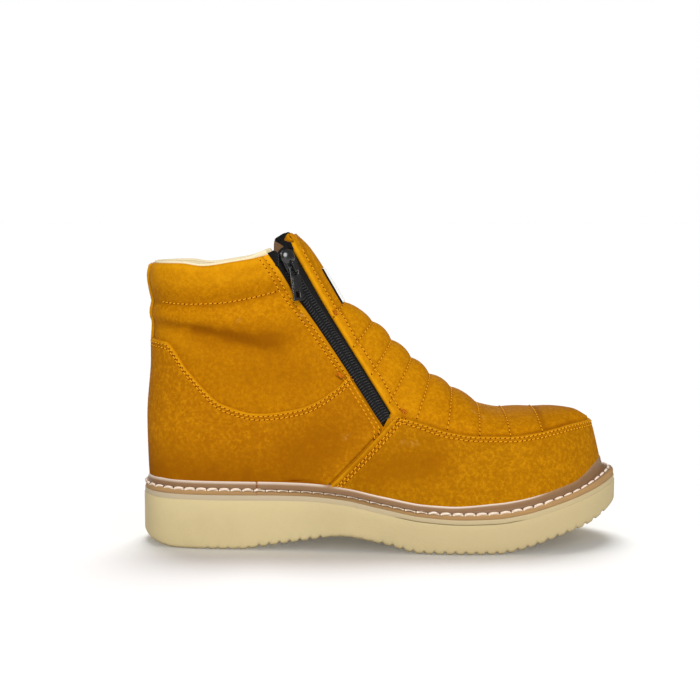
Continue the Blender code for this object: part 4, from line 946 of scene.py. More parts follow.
def make_upper():
    """One hollow wall: open at the collar, at both zip slots and underneath."""
    s, w = upper_grid()
    rows, columns = s.shape
    count = rows * columns
    index = {OUTER: np.arange(count).reshape(rows, columns)}
    index[INNER] = index[OUTER] + count
    index[INNER][:, 0] = index[OUTER][:, 0]
    closed = s[:, -1] <= HEEL_CORNER
    index[INNER][closed, -1] = index[OUTER][closed, -1]
    slot_column = len(FRONT_SHARES) - 1
    outside, inside, faces, paints = [], [], [], []
    for side in (OUTER, INNER):
        top, normal = surface(s, w, side, 0.0)
        bare = skin(s, w, side)
        edge = zip_edge(bare[..., 0], bare[..., 2], w < panel_edge(s) + NEAR)
        full = np.where(w < panel_edge(s) - NEAR, PANEL_WALL, WALL)
        wall = full + (SKIVED_WALL - full) * fade(np.abs(edge), *SKIVED_REACH) * by_zip(bare[..., 2])
        outside.append(top.reshape(-1, 3))
        sunk = np.minimum(((top - bare) * normal).sum(-1), 0.0)
        inside.append((bare + normal * (sunk - wall)[..., None]).reshape(-1, 3))
        paints.append([values.reshape(-1) for values in leather_paint(s, w, side)])
        quads = np.ones((rows - 1, columns - 1), bool)
        quads[s[1:, slot_column] <= ZIP_END + NEAR, slot_column] = False
        made = grid_faces(index[side])[quads.reshape(-1)]
        faces.append(made if side == INNER else made[:, ::-1])
    faces.append(grid_faces(np.stack([index[OUTER][-1], index[INNER][-1]])))
    faces = np.vstack(faces)
    points, walls = shell(np.vstack(outside), np.vstack(inside), faces)
    indoors = np.zeros(len(walls), int)
    indoors[len(faces) : 2 * len(faces)] = 1
    titles = ("worn", "grime", "scuffed")
    paint = {t: np.tile(np.concatenate([p[i] for p in paints]), 2) for i, t in enumerate(titles)}
    made = piece("upper_leather", points, walls, ("Upper leather", "Lining cloth"), paint, indoors)
    settle(made, "shoe", "upper_leather", "upper")


# Panels that lie on the upper

def reach(points, border):
    """Distance of each grid point from one border, along the grid."""
    axis = 0 if border in ("top", "foot") else 1
    way = -1 if border in ("top", "end") else 1
    steps = np.linalg.norm(np.diff(points, axis=axis), axis=-1)
    steps = np.swapaxes(steps, 0, axis)[::way]
    away = np.concatenate([np.zeros_like(steps[:1]), np.cumsum(steps, 0)])[::way]
    return np.swapaxes(away, 0, axis)


@lru_cache(maxsize=None)
def panel_shape(name):
    """Faces of a panel on the upper with rounded, stitched edges, and its masks of wear and of painted shade
    with a dark cut edge.
    """
    kind = PANELS[name]
    s, w = kind.grid()
    parts = []
    for side in kind.sides:
        base, normal = surface(s, w, side, 0.0)
        parts.append((base, normal) if side == kind.sides[0] else (base[:, ::-1], normal[:, ::-1]))
    base = np.hstack([p[0] for p in parts])
    normal = np.hstack([p[1] for p in parts])
    full = OVERLAY_LIFT + kind.thick
    lift = np.full(base.shape[:2], full)
    worn, grime = np.zeros_like(lift), np.zeros_like(lift)
    reaches = {}
    for edge in kind.edges:
        away = reach(base, edge.border)
        reaches[edge.border] = away
        lift += edge.lip * bump(away - 1.3, 0.8) - edge_fall(away, full)
        worn += 2.0 * edge.lip * bump(away - 1.0, 1.0)
        for row in edge.rows:
            lift -= SEAM_DEPTH * bump(away - row, 0.65)
            # Painted shade in the stitch channel
            grime += 0.55 * bump(away - row, 0.8)
    top = base + normal * np.maximum(lift, 0.0)[..., None]
    x, z = base[..., 0], base[..., 2]
    # Painted shade low on the heel and beside the vamp wall's rear seam, with the dark cut edge at the heel
    # panel's foot
    low_heel = fade(z, *LOW_SHADE_Z) * fade(x, *LOW_SHADE_X)
    grime += strokes(x, z, STAINS) + strokes(x, z, PANEL_SHADES) + LOW_SHADE * low_heel
    # Painted shadow in the gap against the back strip
    if kind.grid is counter_grid:
        grime += 2.6 * bump(reach(base, "start"), 0.9)
    paint = {"worn": worn, "grime": grime, "scuffed": strokes(x, z, SCUFFS)}
    bottom = base - normal * PANEL_SINK
    return SimpleNamespace(top=top, bottom=bottom, normal=normal, reaches=reaches, paint=paint)


def make_panel(name):
    """Makes one panel that lies on the upper."""
    kind, shape = PANELS[name], panel_shape(name)
    paint = {title: np.tile(values.reshape(-1), 2) for title, values in shape.paint.items()}
    made = strip_piece(name, shape.top, shape.bottom, kind.finish, paint)
    settle(made, "shoe", kind.slot, kind.node)


def seam_row(name, border, distance, keep_from=None, margin=0.0):
    """A path on a panel's face at a distance from one border, clear of another border by a margin."""
    made = panel_shape(name)
    along = 0 if border in ("start", "end") else 1
    other = made.reaches[keep_from or border]
    grids = (np.moveaxis(grid, along, 0) for grid in (made.reaches[border], made.top, made.normal, other))
    points, normals = [], []
    for away, top, normal, clear in zip(*grids):
        order = np.argsort(away)
        if away.max() < distance or np.interp(distance, away[order], clear[order]) < margin:
            continue
        for found, field in ((points, top), (normals, normal)):
            found.append([np.interp(distance, away[order], field[order, k]) for k in range(3)])
    return np.array(points), np.array(normals), False


def vamp_wall_grid():
    """Places of the moccasin-toe wall: from its straight rear seam on one side to the middle of the toe."""
    rise = 1 - (1 - np.linspace(0.0, 1.0, 48)[:, None]) ** 1.5

    def raised(s):
        foot, top = overlay_foot(s), panel_edge(np.maximum(s, ZIP_END + 0.001))
        return blend(foot, top, rise)

    def ahead(s):
        point = skin(s, raised(s), OUTER)
        return point[..., 0] > vamp_rear_x(point[..., 2])

    rear = halve(rise.shape, TOE, ahead)
    run = np.linspace(0.0, 1.0, 170)[None, :]
    run = np.where(run < 0.12, run**1.5 / 0.12**0.5, run)
    run = 1 - (1 - run) ** 1.25
    s = blend(rear, TOE, run)
    return s, raised(s)


def vamp_rear_x(z):
    """X of the vamp wall's rear seam at a height."""
    share = (z - VAMP_REAR_FOOT.z) / (VAMP_REAR_TOP.z - VAMP_REAR_FOOT.z)
    return blend(VAMP_REAR_FOOT.x, VAMP_REAR_TOP.x, share)


def strip_edge(s):
    """Share of the way round to the back strip's edge, on the rings."""
    k = section(s)
    share = np.clip(STRIP_HALF / k.half, 0.0, 1.0) ** k.base_round
    return fall_to_round(k.widest + (1 - k.widest) * (1 - share) ** (1 / k.base_round), k)


def counter_grid():
    """Places of a heel panel: from the back strip forward to the zip and the vamp wall."""
    rise = 1 - (1 - np.linspace(0.0, 1.0, 54)[:, None]) ** 1.5
    run = np.linspace(0.0, 1.0, 110)[None, :] ** 1.4
    front_foot = VAMP_REAR_FOOT.x - COUNTER_SEAM_SET_BACK
    front_top = float(zip_rear(COUNTER_FRONT_Z)) - COUNTER_ZIP_SET_BACK
    x_foot = blend(COUNTER_BACK_FOOT_X, front_foot, run)
    x_top = blend(COUNTER_BACK_TOP_X, front_top, run)
    z_foot = seat(x_foot) + WELT_BEAD - OVERLAY_TUCK
    z_top = counter_line(x_top)
    z = blend(z_foot, z_top, rise)
    front = np.minimum(zip_rear(z) - COUNTER_ZIP_SET_BACK, vamp_rear_x(z) - COUNTER_SEAM_SET_BACK)
    straight = blend(x_foot, x_top, rise)
    x = straight + (front - straight[:, -1:]) * run**2
    s, w = place(x, z)
    edge = strip_edge(np.minimum(s[:, :1], HEEL_CORNER))
    w = np.minimum(w + (edge - w[:, :1]) * (1 - run) ** 6, overlay_foot(s))
    return s, w


def back_strip_grid():
    """Places of the strip over the back seam, from the welt's bead to just under the collar's edge."""
    start = float(collar_start()[0, -1])
    low_z = float(seat(FEATHER.back_x)) + WELT_BEAD - OVERLAY_TUCK
    rings = np.linspace(NUMBER["counter"], HEEL_CORNER, 200)
    foot = float(np.interp(-low_z, -COLUMN["base_z"](rings), rings))
    s = np.linspace(foot, start + STRIP_SET_DOWN, 150)[:, None]
    w = 1 - (1 - strip_edge(s)) * (1 - np.linspace(0.0, 1.0, 15)[None, :])
    return np.broadcast_to(s, w.shape), w


def patch_grid():
    """Places of the blank patch across the crest, above the first quilted line."""
    s = np.linspace(FIRST_QUILT - PATCH_FOOT_SET_IN, NUMBER["cuff seam"] + PATCH_SET_IN, 60)[:, None]
    k = section(s)
    share = np.clip(PATCH_HALF * np.linspace(1.0, 0.0, 22)[None, :] / k.half, 0.0, 1.0)
    fall = k.widest * (1 - (1 - share ** k.crest_round) ** (1 / k.crest_round))
    w = fall_to_round(fall, k)
    return np.broadcast_to(s, w.shape), w


# Edges of a panel: which border, how high its lip stands, and how far in its rows of stitches lie
Edge = namedtuple("Edge", "border lip rows")
Panel = namedtuple("Panel", "grid sides thick edges finish slot node")
BOTH = (OUTER, INNER)
SEAM_ROWS = (2.0, 4.2)
REAR_SEAM_ROWS = (4.4, 6.6)
STRIP_ROW, PATCH_ROW = 1.7, 0.5
COUNTER_EDGES = (Edge("top", 0.4, SEAM_ROWS), Edge("end", 0.2, ()))
VAMP_EDGES = (Edge("top", 0.45, SEAM_ROWS), *(Edge(end, 0.4, REAR_SEAM_ROWS) for end in ("start", "end")))
STRIP_EDGES = (*(Edge(end, 0.3, (STRIP_ROW,)) for end in ("start", "end")), Edge("top", 0.2, ()))
PATCH_EDGES = (
    *(Edge(end, 0.0, (PATCH_ROW,)) for end in ("start", "end")),
    *(Edge(end, 0.0, ()) for end in ("top", "foot")),
)
OVERLAY = ("Overlay leather", "overlay_leather")
HEEL = ("Heel leather", "overlay_leather")
PANELS = {
    "vamp_panel": Panel(vamp_wall_grid, BOTH, VAMP_WALL_THICK, VAMP_EDGES, *OVERLAY, "vamp_wall"),
    "heel_panel_outer": Panel(counter_grid, (OUTER,), COUNTER_THICK, COUNTER_EDGES, *HEEL, "counter_outer"),
    "heel_panel_inner": Panel(counter_grid, (INNER,), COUNTER_THICK, COUNTER_EDGES, *HEEL, "counter_inner"),
    "heel_strip": Panel(back_strip_grid, BOTH, STRIP_THICK - GAP, STRIP_EDGES, *OVERLAY, "back_strip"),
    "crest_patch": Panel(
        patch_grid, BOTH, PATCH_CLOTH, PATCH_EDGES, "Patch cloth", "patch_fabric", "front_patch"
    ),
}


# Sole

def across_piece(name, rows, finish):
    """A solid through cross-sections with the same number of points, capped at both ends."""
    rows = np.asarray(rows, float)
    count, width = rows.shape[:2]
    index = np.arange(count * width).reshape(count, width)
    faces = [grid_faces(np.hstack([index, index[:, :1]]))]
    half = width // 2
    for ring in (index[0][::-1], index[-1]):
        faces.append(grid_faces(np.stack([ring[:half], ring[::-1][:half]])))
    return piece(name, rows.reshape(-1, 3), np.vstack(faces), (finish,))


def groove_depth(x):
    """Depth of the tread at X: rounded grooves between flat lands."""
    starts = np.arange(GROOVE_FIRST_X, GROOVE_LAST_X, GROOVE_PITCH)
    into = np.min(np.abs(np.asarray(x)[:, None] - starts[None, :] - GROOVE_MOUTH / 2), axis=1)
    arch = 1 - ARCH_WORN * (ease(x, *ARCH_WORN_X) * fade(x, *ARCH_WORN_END_X))
    heel = 1 - HEEL_WORN * fade(x, *HEEL_WORN_END_X)
    return GROOVE_DEPTH * arch * heel * fade(into, GROOVE_FLOOR, GROOVE_MOUTH / 2 + GROOVE_SOFT)


def sole_ring(outline, count):
    """Points once round an outline: along its outer side to the tip, then back along its inner side."""
    share = 0.5 - 0.5 * np.cos(np.linspace(0.0, math.pi, count))
    x = blend(outline.back_x, outline.tip_x, share)
    outer, inner = outline.sides(x)
    return np.vstack([np.column_stack([x, outer]), np.column_stack([x, inner])[-2:0:-1]])


def layer_piece(name, outline, profile, finish, count=300):
    """A layer in rings from its top to its underside: profile gives each ring's inset and its height of X."""
    rings = []
    for inset, height in profile:
        flat = sole_ring(outline.inset(inset), count)
        rings.append(np.column_stack([flat, height(flat[:, 0])]))
    index = np.arange(len(rings) * len(rings[0])).reshape(len(rings), -1)
    faces = [grid_faces(np.hstack([index, index[:, :1]]))]
    for ring, turn in ((index[0], -1), (index[-1], 1)):
        inner = np.concatenate([ring[:1], ring[: count - 1 : -1], ring[count - 1 : count]])
        faces.append(grid_faces(np.stack([ring[:count], inner]))[:, ::turn])
    return piece(name, np.vstack(rings), np.vstack(faces), (finish,))


def quarter_round(steps):
    """Sine and cosine of a quarter turn, in steps."""
    angle = np.linspace(0.0, math.pi / 2, steps)
    return zip(np.sin(angle), np.cos(angle))


def make_outsole():
    def tread(x):
        return sole_bottom(x) + groove_depth(x)

    def wall(share):
        return lambda x: sole_top(x) + (tread(x) + SOLE_EDGE_ROUND - sole_top(x)) * share

    def corner(rise):
        return lambda x: tread(x) + SOLE_EDGE_ROUND * rise

    profile = [(0.5, sole_top), (0.15, lambda x: sole_top(x) - 0.2), (0.0, lambda x: sole_top(x) - 0.6)]
    profile += [(0.0, wall(share)) for share in (0.3, 0.6, 0.85)]
    profile += [(SOLE_EDGE_ROUND * (1 - rest), corner(1 - turn)) for turn, rest in quarter_round(6)]
    made = layer_piece("outsole_wedge", SOLE_PLAN, profile, "Sole foam", 900)
    settle(made, "shoe", "sole_foam", "outsole")


def gap_share(x):
    """How far open the gap between the midsole and the wedge sole is."""
    return ease(x, *MIDSOLE_GAP_X) * fade(x, *MIDSOLE_GAP_END_X)


def soft_layer(low, high, soft, sunk=0.0):
    """Profile of a layer that follows the sole's top between two heights above it, with softened edges.

    At the heel and the toe its lower edge may be sunk into the sole.
    """
    def above(height, sink=0.0):
        return lambda x: sole_top(x) + height - sink * (1 - gap_share(x))

    turns = list(quarter_round(4))
    upper = [(soft * (1 - turn), above(high - soft * (1 - rest))) for turn, rest in turns]
    return upper + [(soft * (1 - rest), above(low + soft * (1 - turn), sunk)) for turn, rest in turns]


def inside_skin(x, y, z):
    """True where a point lies inside the upper's skin."""
    s, t = locate(x, z)
    k = section(s)
    line_x = blend(k.top_x, k.base_x, t)
    beyond_toe = (s > TOE - 0.001) & (x > line_x)
    k_t = np.clip(t, 0.0, 1.0)
    near = abs(y - middle_y(k_t, k)) < half_width(k_t, k)
    return near & (t > 0) & (t < 1) & ~beyond_toe


def skin_inset(points, normals, height):
    """How far in from the outline the skin lies, at a height above the midsole."""
    def hit(inset):
        at = points - normals * inset[:, None]
        return inside_skin(at[:, 0], at[:, 1], seat(at[:, 0]) + height)

    return halve(len(points), 16.0, hit, 24)


def turning_stations(outline, count):
    """Numbers of outline points, spaced evenly but closer where the outline turns."""
    along = np.roll(outline, -1, 0) - outline
    length = np.linalg.norm(along, axis=1)
    heading = np.unwrap(np.arctan2(along[:, 1], along[:, 0]))
    turn = abs(np.diff(np.append(heading, heading[0] + np.sign(heading[-1] - heading[0]) * 2 * math.pi)))
    weight = np.concatenate([[0.0], np.cumsum(length + WELT_TURN_REACH * turn)])
    return np.unique(np.searchsorted(weight, np.linspace(0.0, weight[-1], count, endpoint=False)))


def smooth_round(values, reach_steps):
    """A closed run of values, evened out over its neighbours."""
    kernel = np.hanning(2 * reach_steps + 3)[1:-1]
    kernel /= kernel.sum()
    padded = np.concatenate([values[-reach_steps:], values, values[:reach_steps]])
    return np.convolve(padded, kernel, "valid")


# A ring of the welt: in from the sole's edge, up from the midsole, and its masks of brown, painted shade and
# painted highlight
WELT_MASKS = ("browned", "shaded", "shining")
WeltRing = namedtuple("WeltRing", ("inset", "height", *WELT_MASKS), defaults=(0.0, 0.0, 0.0))


@lru_cache(maxsize=None)
def welt_shape():
    """Rings of the welt: an outer ledge that carries the stitches, then a bead up the leather."""
    pick = turning_stations(SOLE_PLAN.points, WELT_STATIONS)
    by_joint = np.abs(SOLE_PLAN.points[:, 0] - WELT_JOINT_X) < WELT_JOINT_REACH
    pick = np.union1d(pick, np.flatnonzero(by_joint & (SOLE_PLAN.points[:, 1] <= 0)))
    points, normals = SOLE_PLAN.points[pick], outward(SOLE_PLAN.points)[pick]
    x = points[:, 0]
    tip = ease(x, *WELT_TIP_X)
    bead = WELT_BEAD + WELT_FRONT_RISE * ease(x, *WELT_FRONT_X) + WELT_TIP_RISE * tip
    rim, ledge, inner_ledge = (WELT_LEDGE + rise * tip for rise in WELT_TIP_LEDGE_RISES)
    crown = smooth_round(skin_inset(points, normals, bead), 6)
    foot = smooth_round(skin_inset(points, normals, 0.4), 6)
    edge = np.full(len(points), WELT_EDGE_INSET)
    ledge_in = smooth_round(skin_inset(points, normals, WELT_BEAD), 6) - WELT_BEAD_FOOT

    def clear(inset, height):
        """The inset, or less where the leather beside it at that height needs room."""
        beside = smooth_round(skin_inset(points, normals, height), 3)
        return np.minimum(inset, beside - WELT_BEAD_CROWN - WELT_TIP_CLEAR * ease(x, *WELT_TIP_CLEAR_X))

    ledge_in = np.minimum(ledge_in, smooth_round(clear(ledge_in, inner_ledge + 1.1), 6) - 0.3)
    breast = np.maximum(bead - 4.2, inner_ledge + 1.5)
    waist = (inner_ledge + 1.1 + breast) / 2
    track = (edge + ledge_in) / 2
    face = crown - WELT_BEAD_CROWN
    leather = crown - WELT_EASE
    # shaded is painted shade beside the stitches and a painted shadow where the bead meets the leather;
    # shining is a painted highlight along the bead's rim
    profile = [
        WeltRing(edge + 0.1, 0.0),
        WeltRing(edge, 0.12),
        WeltRing(edge, 1.4),
        WeltRing(edge, 2.7),
        WeltRing(edge + 0.15, 3.3),
        WeltRing(edge + 0.5, 3.6, 0.1, 0.0),
        WeltRing(edge + 0.9, rim, 0.4, 0.2),
        WeltRing(track - 0.9, ledge, 0.8, 0.6),
        WeltRing(track - 0.4, ledge - 0.35, 1.0, 1.0),
        WeltRing(track, ledge - 0.5, 1.0, 1.0),
        WeltRing(track + 0.4, ledge - 0.35, 1.0, 1.0),
        WeltRing(track + 0.9, ledge + 0.05, 1.0, 1.0),
        WeltRing(ledge_in - 0.2, inner_ledge + 0.25, 1.0, 0.95),
        WeltRing(clear(ledge_in + 0.5, inner_ledge + 1.1), inner_ledge + 1.1, 1.0, 0.7),
        WeltRing(clear(ledge_in + 0.9, waist), waist, 1.0, 0.65),
        WeltRing(clear(face - 0.6, breast), breast, 1.0, 0.6),
        WeltRing(clear(face - 0.45, bead - 2.3), bead - 2.3, 1.0, 0.4),
        WeltRing(clear(face - 0.1, bead - 1.3), bead - 1.3, 1.0, 0.1, 0.55),
        WeltRing(face + 0.35, bead - 0.55, 1.0, 0.0, 1.0),
        WeltRing(face + 0.85, bead - 0.12, 1.0, 0.0, 1.0),
        WeltRing((face + leather) / 2 + 0.35, bead, 1.0, 0.0, 0.9),
        WeltRing(leather - 0.15, bead - 0.35, 1.0, 1.0),
        WeltRing(leather, bead - 1.0, 1.0, 1.0),
        WeltRing(foot - WELT_EASE, 0.0, 1.0, 1.0),
    ]
    at_joint = bump(x - WELT_JOINT_X, WELT_JOINT_HALF) * (points[:, 1] < 0)
    rings = []
    for ring in profile:
        height, cut = np.asarray(ring.height), WELT_JOINT_DEPTH * at_joint
        flat = points - normals * (ring.inset + cut * (height > 1.0))[:, None]
        rings.append(np.column_stack([flat, seat(flat[:, 0]) + height - cut * (height > WELT_LEDGE)]))
    rings = np.array(rings)
    index = np.arange(rings.shape[0] * rings.shape[1]).reshape(rings.shape[:2])
    index = np.vstack([index, index[:1]])
    faces = grid_faces(np.hstack([index, index[:, :1]]))
    paint = {mask: np.repeat([getattr(ring, mask) for ring in profile], len(points)) for mask in WELT_MASKS}
    # The painted highlight on the bead's rim: weaker at the heel, gone at the tip and where the vamp wall's
    # rear end hides it
    bright = blend(WELT_HEEL_SHINE, 1, ease(x, *WELT_SHINE_X)) * fade(x, *WELT_SHINE_END_X)
    paint["shining"] *= np.tile(bright * (1 - bump(x - WELT_DULL_X, WELT_DULL_HALF)), len(profile))
    paint["grime"] = np.concatenate([at_joint * (0.3 + 0.7 * ring.browned) for ring in profile])
    lie = np.column_stack([normals * 0.25, np.ones(len(points))])
    path = points - normals * track[:, None]
    row = np.column_stack([path, seat(path[:, 0]) + ledge + 0.2])
    return SimpleNamespace(points=rings.reshape(-1, 3), faces=faces, paint=paint, row=(row, lie, True))


def make_welt():
    shape = welt_shape()
    made = piece("welt_leather", shape.points, shape.faces, ("Welt leather",), shape.paint)
    settle(made, "shoe", "welt_strip", "welt")


# Zips

def zip_place(heights, shares):
    """Places in the zip slot: shares run from 0 at its rear edge to 1 at its front edge."""
    rear, front = zip_rear(heights), zip_front(heights)
    x = blend(rear, front, shares)
    return place(x, heights + (x - (rear + front) / 2) * ZIP_LEAN)


def zip_strip(heights, shares, side, lift):
    """Points of a strip in the zip slot, at a lift off the smooth skin, and the normals there."""
    s, w = zip_place(heights, shares)
    normal = skin_normal(s, w, side)
    return skin(s, w, side) + normal * np.asarray(lift), normal


def zip_shares(heights, lap, count):
    """Shares across the slot and past both of its edges by a lap, for each height."""
    past = lap / (zip_front(heights) - zip_rear(heights))
    return -past + (1 + 2 * past) * np.linspace(0.0, 1.0, count)[None, :]


def zip_sheet(name, heights, shares, side, tops, bottoms):
    """A sheet of the tape's cloth in the zip slot, between two lifts off the smooth skin."""
    lifts = [np.broadcast_to(lift, shares.shape)[..., None] for lift in (tops, bottoms)]
    return strip_piece(name, *(zip_strip(heights, shares, side, lift)[0] for lift in lifts), "Zip tape")


def make_zip_tape(word, side):
    """The woven tape behind the slot, lapped under the leather, its front half longer at the open top."""
    rise = np.linspace(0.0, 1.0, 120)[:, None]
    shares = zip_shares(np.full((120, 1), SLIDER_Z), TAPE_LAP, 24)
    high = TAPE_REAR_HIGH_Z + (TAPE_HIGH_Z - TAPE_REAR_HIGH_Z) * ease(shares, 0.42, 0.58)
    heights = blend(ZIP_LOW_Z, high, rise)
    shares = np.broadcast_to(shares, heights.shape)
    sag = 0.5 * ease(np.abs(shares - 0.5), 0.45, 0.7)
    top = -TAPE_DEPTH - sag
    made = zip_sheet(f"zip_cloth_{word}", heights, shares, side, top, top - TAPE_THICK)
    settle(made, "shoe", "zip_tape_fabric", f"zip_tape_{word}")


def flap(corners, side):
    """Points and normals of a sheet in the zip's open top, with its shares of the way up and back."""
    rise, run = np.linspace(0.0, 1.0, 64)[:, None], np.linspace(0.0, 1.0, 20)[None, :]
    (fx0, fz0), (fx1, fz1), (rx0, rz0), (rx1, rz1) = corners
    x = blend(fx0, fx1, rise) * (1 - run) + blend(rx0, rx1, rise) * run
    z = blend(fz0, fz1, rise) * (1 - run) + blend(rz0, rz1, rise) * run
    z += 1.2 * np.sin(math.pi * run) * rise
    s, w = place(x, np.minimum(z, crest_height(x) - 0.6))
    base, normal = skin(s, w, side), skin_normal(s, w, side)
    base[..., 0], base[..., 2] = x, z
    return base, normal, rise, run


def make_zip_facing(word, side):
    """The brown leather facing behind the tape, which shows in the zip's open top."""
    base, normal, _, run = flap(FACING_END, side)
    lift = (-TAPE_DEPTH - TAPE_THICK - 1.2 - 3.0 * run**2)[..., None]
    top, bottom = base + normal * lift, base + normal * (lift - FACING_THICK)
    made = strip_piece(f"zip_facing_{word}", top, bottom, "Facing leather")
    settle(made, "shoe", "upper_leather")


def make_chain_bed(word, side):
    """The corded bed that the coil lies on, from the slot's foot to the slider."""
    heights = np.linspace(ZIP_LOW_Z - 2.0, SLIDER_Z, 110)[:, None]
    across = np.linspace(-1.0, 1.0, 13)[None, :]
    shares = CHAIN_SHARE + CHAIN_HALF / (zip_front(heights) - zip_rear(heights)) * across
    crown = -1.25 - 0.8 * np.abs(across) ** 3 - 0.3 * bump(across, 0.12)
    made = zip_sheet(f"zip_bed_{word}", heights, shares, side, crown, -TAPE_DEPTH)
    settle(made, "shoe", "zip_chain_plastic", f"zip_chain_{word}")


def make_coil(word, side):
    """The two rows of the coil's turns, from the slot's foot to the slider."""
    heights = np.linspace(ZIP_LOW_Z - 1.5, SLIDER_Z - 1.0, 90)[:, None]
    pitch = bpy.context.scene.shoe_sizes.coil_pitch
    for row, hand in (("rear", -1), ("front", 1)):
        share = CHAIN_SHARE + CHAIN_HALF / (zip_front(heights) - zip_rear(heights)) * hand / 2
        points, normals = zip_strip(heights, share, side, CHAIN_TOP - 0.9)
        slant = -hand * side * COIL_SLANT_DEG
        sizes = stitch_sizes(pitch, COIL_TURN * MM, COIL_RADIUS * MM, COIL_RISE, slant, COIL_HOLE * MM, 0.0)
        path = (points[:, 0], normals[:, 0], False)
        stitch_piece(f"zip_coil_{row}_{word}", [path], "Zip coil", "Zip coil", sizes, "zip_chain_plastic")


def make_tape_end(word, side):
    """The tape's loose ends above the slider: bunched, the front one folded over and curled in."""
    for row, corners in TAPE_ENDS.items():
        base, normal, rise, run = flap(corners, side)
        lift = -1.0 + 1.9 * np.sin(math.pi * np.minimum(run * 1.3, 1.0)) - TAPE_CURLS[row] * run**3
        lift = (lift + 0.35 * np.sin(TAPE_END_RIBS * math.pi * rise) * np.sin(math.pi * run))[..., None]
        top, bottom = base + normal * lift, base + normal * (lift - 1.1)
        settle(strip_piece(f"zip_end_{row}_{word}", top, bottom, "Zip tape"), "shoe", "zip_tape_fabric")


def crest_height(x):
    """Height of the collar's section at X, which the open top doesn't pass."""
    top = SECTIONS[0]
    return top.top_z + (x - top.top_x) / (top.base_x - top.top_x) * (top.base_z - top.top_z)


def make_edge_roll(word, side):
    """The rolled end of the front panel's leather at the top of the zip, with a painted shadow in its hollow:
    a dark piece.
    """
    x, z = EDGE_ROLL_AT
    point, normal = at_side(np.array([x]), np.array([z]), side)
    off = Vector(normal[0])
    up = Vector((-0.5, 0.0, 0.87))
    across = up.cross(off).normalized()
    turned = turned_to(across, off.cross(across), off, point[0])
    turn = np.linspace(0.0, 2 * math.pi, 28, endpoint=False)
    wide, long = EDGE_ROLL_HALF
    outline = [(wide * math.cos(a), long * math.sin(a)) for a in turn]
    slit = [(0.42 * wide * math.cos(a) + 0.1, 0.6 * long * math.sin(a) + 0.1) for a in turn]
    hollow = [(1.3 * x, 1.1 * y) for x, y in slit]
    # Painted shadow: a dark piece in the hollow of the roll
    dark = plate_piece(f"edge_hollow_{word}", [plate(hollow, (), 0.6, 2.0, 0.2)], turned, "Stitch hole")
    settle(dark, "shoe", "upper_leather")
    rolled = plate(outline, (slit,), -1.6, 2.9, 0.4)
    made = plate_piece(f"edge_roll_{word}", [rolled], turned, "Upper leather")
    settle(made, "shoe", "upper_leather")


def make_lining_edge():
    """The padded lining's rolled edge, which stands a little above the collar from zip to zip."""
    s, w = (grid[0, len(FRONT_SHARES) :] for grid in upper_grid())
    parts = []
    for side in BOTH:
        at = skin(s, w, side)
        up = at - skin(s + 0.15, w, side)
        up /= np.linalg.norm(up, axis=-1)[:, None]
        raised = at + up * (LINING_END_RISE * bump(zip_behind(at[:, 0], at[:, 2]), 9.0))[:, None]
        parts.append((raised, skin_normal(s, w, side), up))
    path, off, up = (np.vstack([a, b[-2::-1]])[:, None] for a, b in zip(*parts))
    profile = np.array([(p.off, p.up) for p in LINING_EDGE])[None]
    made = across_piece("lining_edge", path + off * profile[..., :1] + up * profile[..., 1:], "Lining cloth")
    settle(made, "shoe", "lining_fabric")


def turned_to(across, up, off, at):
    """A place in metres whose X, Y and Z point along three directions, at a point in millimetres."""
    made = Matrix((across, up, off)).transposed().to_4x4()
    made.translation = Vector(at) * MM
    return made


def slider_frame(side):
    """Place of the slider, turned a little in the zip: X across it, Y up, Z off the surface, in metres."""
    def middle(z):
        return zip_strip(np.array([[z]]), np.array([[0.5]]), side, 0.0)[0][0, 0]

    up = Vector(middle(SLIDER_Z + 6.0) - middle(SLIDER_Z - 6.0)).normalized()
    s, w = place((zip_rear(SLIDER_Z) + zip_front(SLIDER_Z)) / 2, SLIDER_Z)
    off = Vector(skin_normal(s, w, side))
    across = up.cross(off).normalized()
    off = across.cross(up)
    made = turned_to(across, up, off, middle(SLIDER_Z))
    return made @ Matrix.Rotation(math.radians(side * SLIDER_TURN_DEG), 4, "Z")


def plate(outline, holes, low, high, soft):
    """A flat mesh with holes and softened edges: its outline in the XY plane, standing from low to high."""
    data = bpy.data.curves.new("plate", "CURVE")
    data.dimensions = "2D"
    data.fill_mode = "BOTH"
    data.extrude = ((high - low) / 2 - soft) * MM
    data.bevel_depth = soft * MM
    data.offset = -soft * MM
    data.bevel_resolution = 3
    for loop in (outline, *holes):
        spline = data.splines.new("POLY")
        spline.points.add(len(loop) - 1)
        spline.use_cyclic_u = True
        for point, (x, y) in zip(spline.points, loop):
            point.co = (x * MM, y * MM, 0.0, 1.0)
    mesh = plain_mesh(add_object("plate", data))
    mesh.transform(Matrix.Translation((0.0, 0.0, (low + high) / 2 * MM)))
    return mesh


def rounded(half_x, low_y, high_y, corner, low_corner=None, steps=6):
    """A rectangle with round corners, which may differ at its foot, as a loop of points."""
    foot = corner if low_corner is None else low_corner
    loop = []
    for hand, y, up, radius, start in (
        (1, high_y, -1, corner, 0),
        (-1, high_y, -1, corner, 90),
        (-1, low_y, 1, foot, 180),
        (1, low_y, 1, foot, 270),
    ):
        for i in range(steps + 1):
            angle = math.radians(start + 90 * i / steps)
            centre = (hand * (half_x - radius), y + up * radius)
            loop.append((centre[0] + radius * math.cos(angle), centre[1] + radius * math.sin(angle)))
    return loop


def plate_piece(name, meshes, place_in, finish):
    """Joins flat meshes into one piece at its place."""
    shape = bmesh.new()
    for mesh in meshes:
        shape.from_mesh(mesh)
        bpy.data.meshes.remove(mesh)
    bmesh.ops.remove_doubles(shape, verts=shape.verts, dist=0.000005)
    bmesh.ops.recalc_face_normals(shape, faces=shape.faces)
    mesh = bpy.data.meshes.new(name)
    shape.to_mesh(mesh)
    shape.free()
    mesh.transform(place_in)
    mesh.materials.clear()
    mesh.materials.append(bpy.data.materials[finish])
    mesh.shade_smooth()
    mesh.set_sharp_from_angle(angle=math.radians(40))
    return add_object(name, mesh)


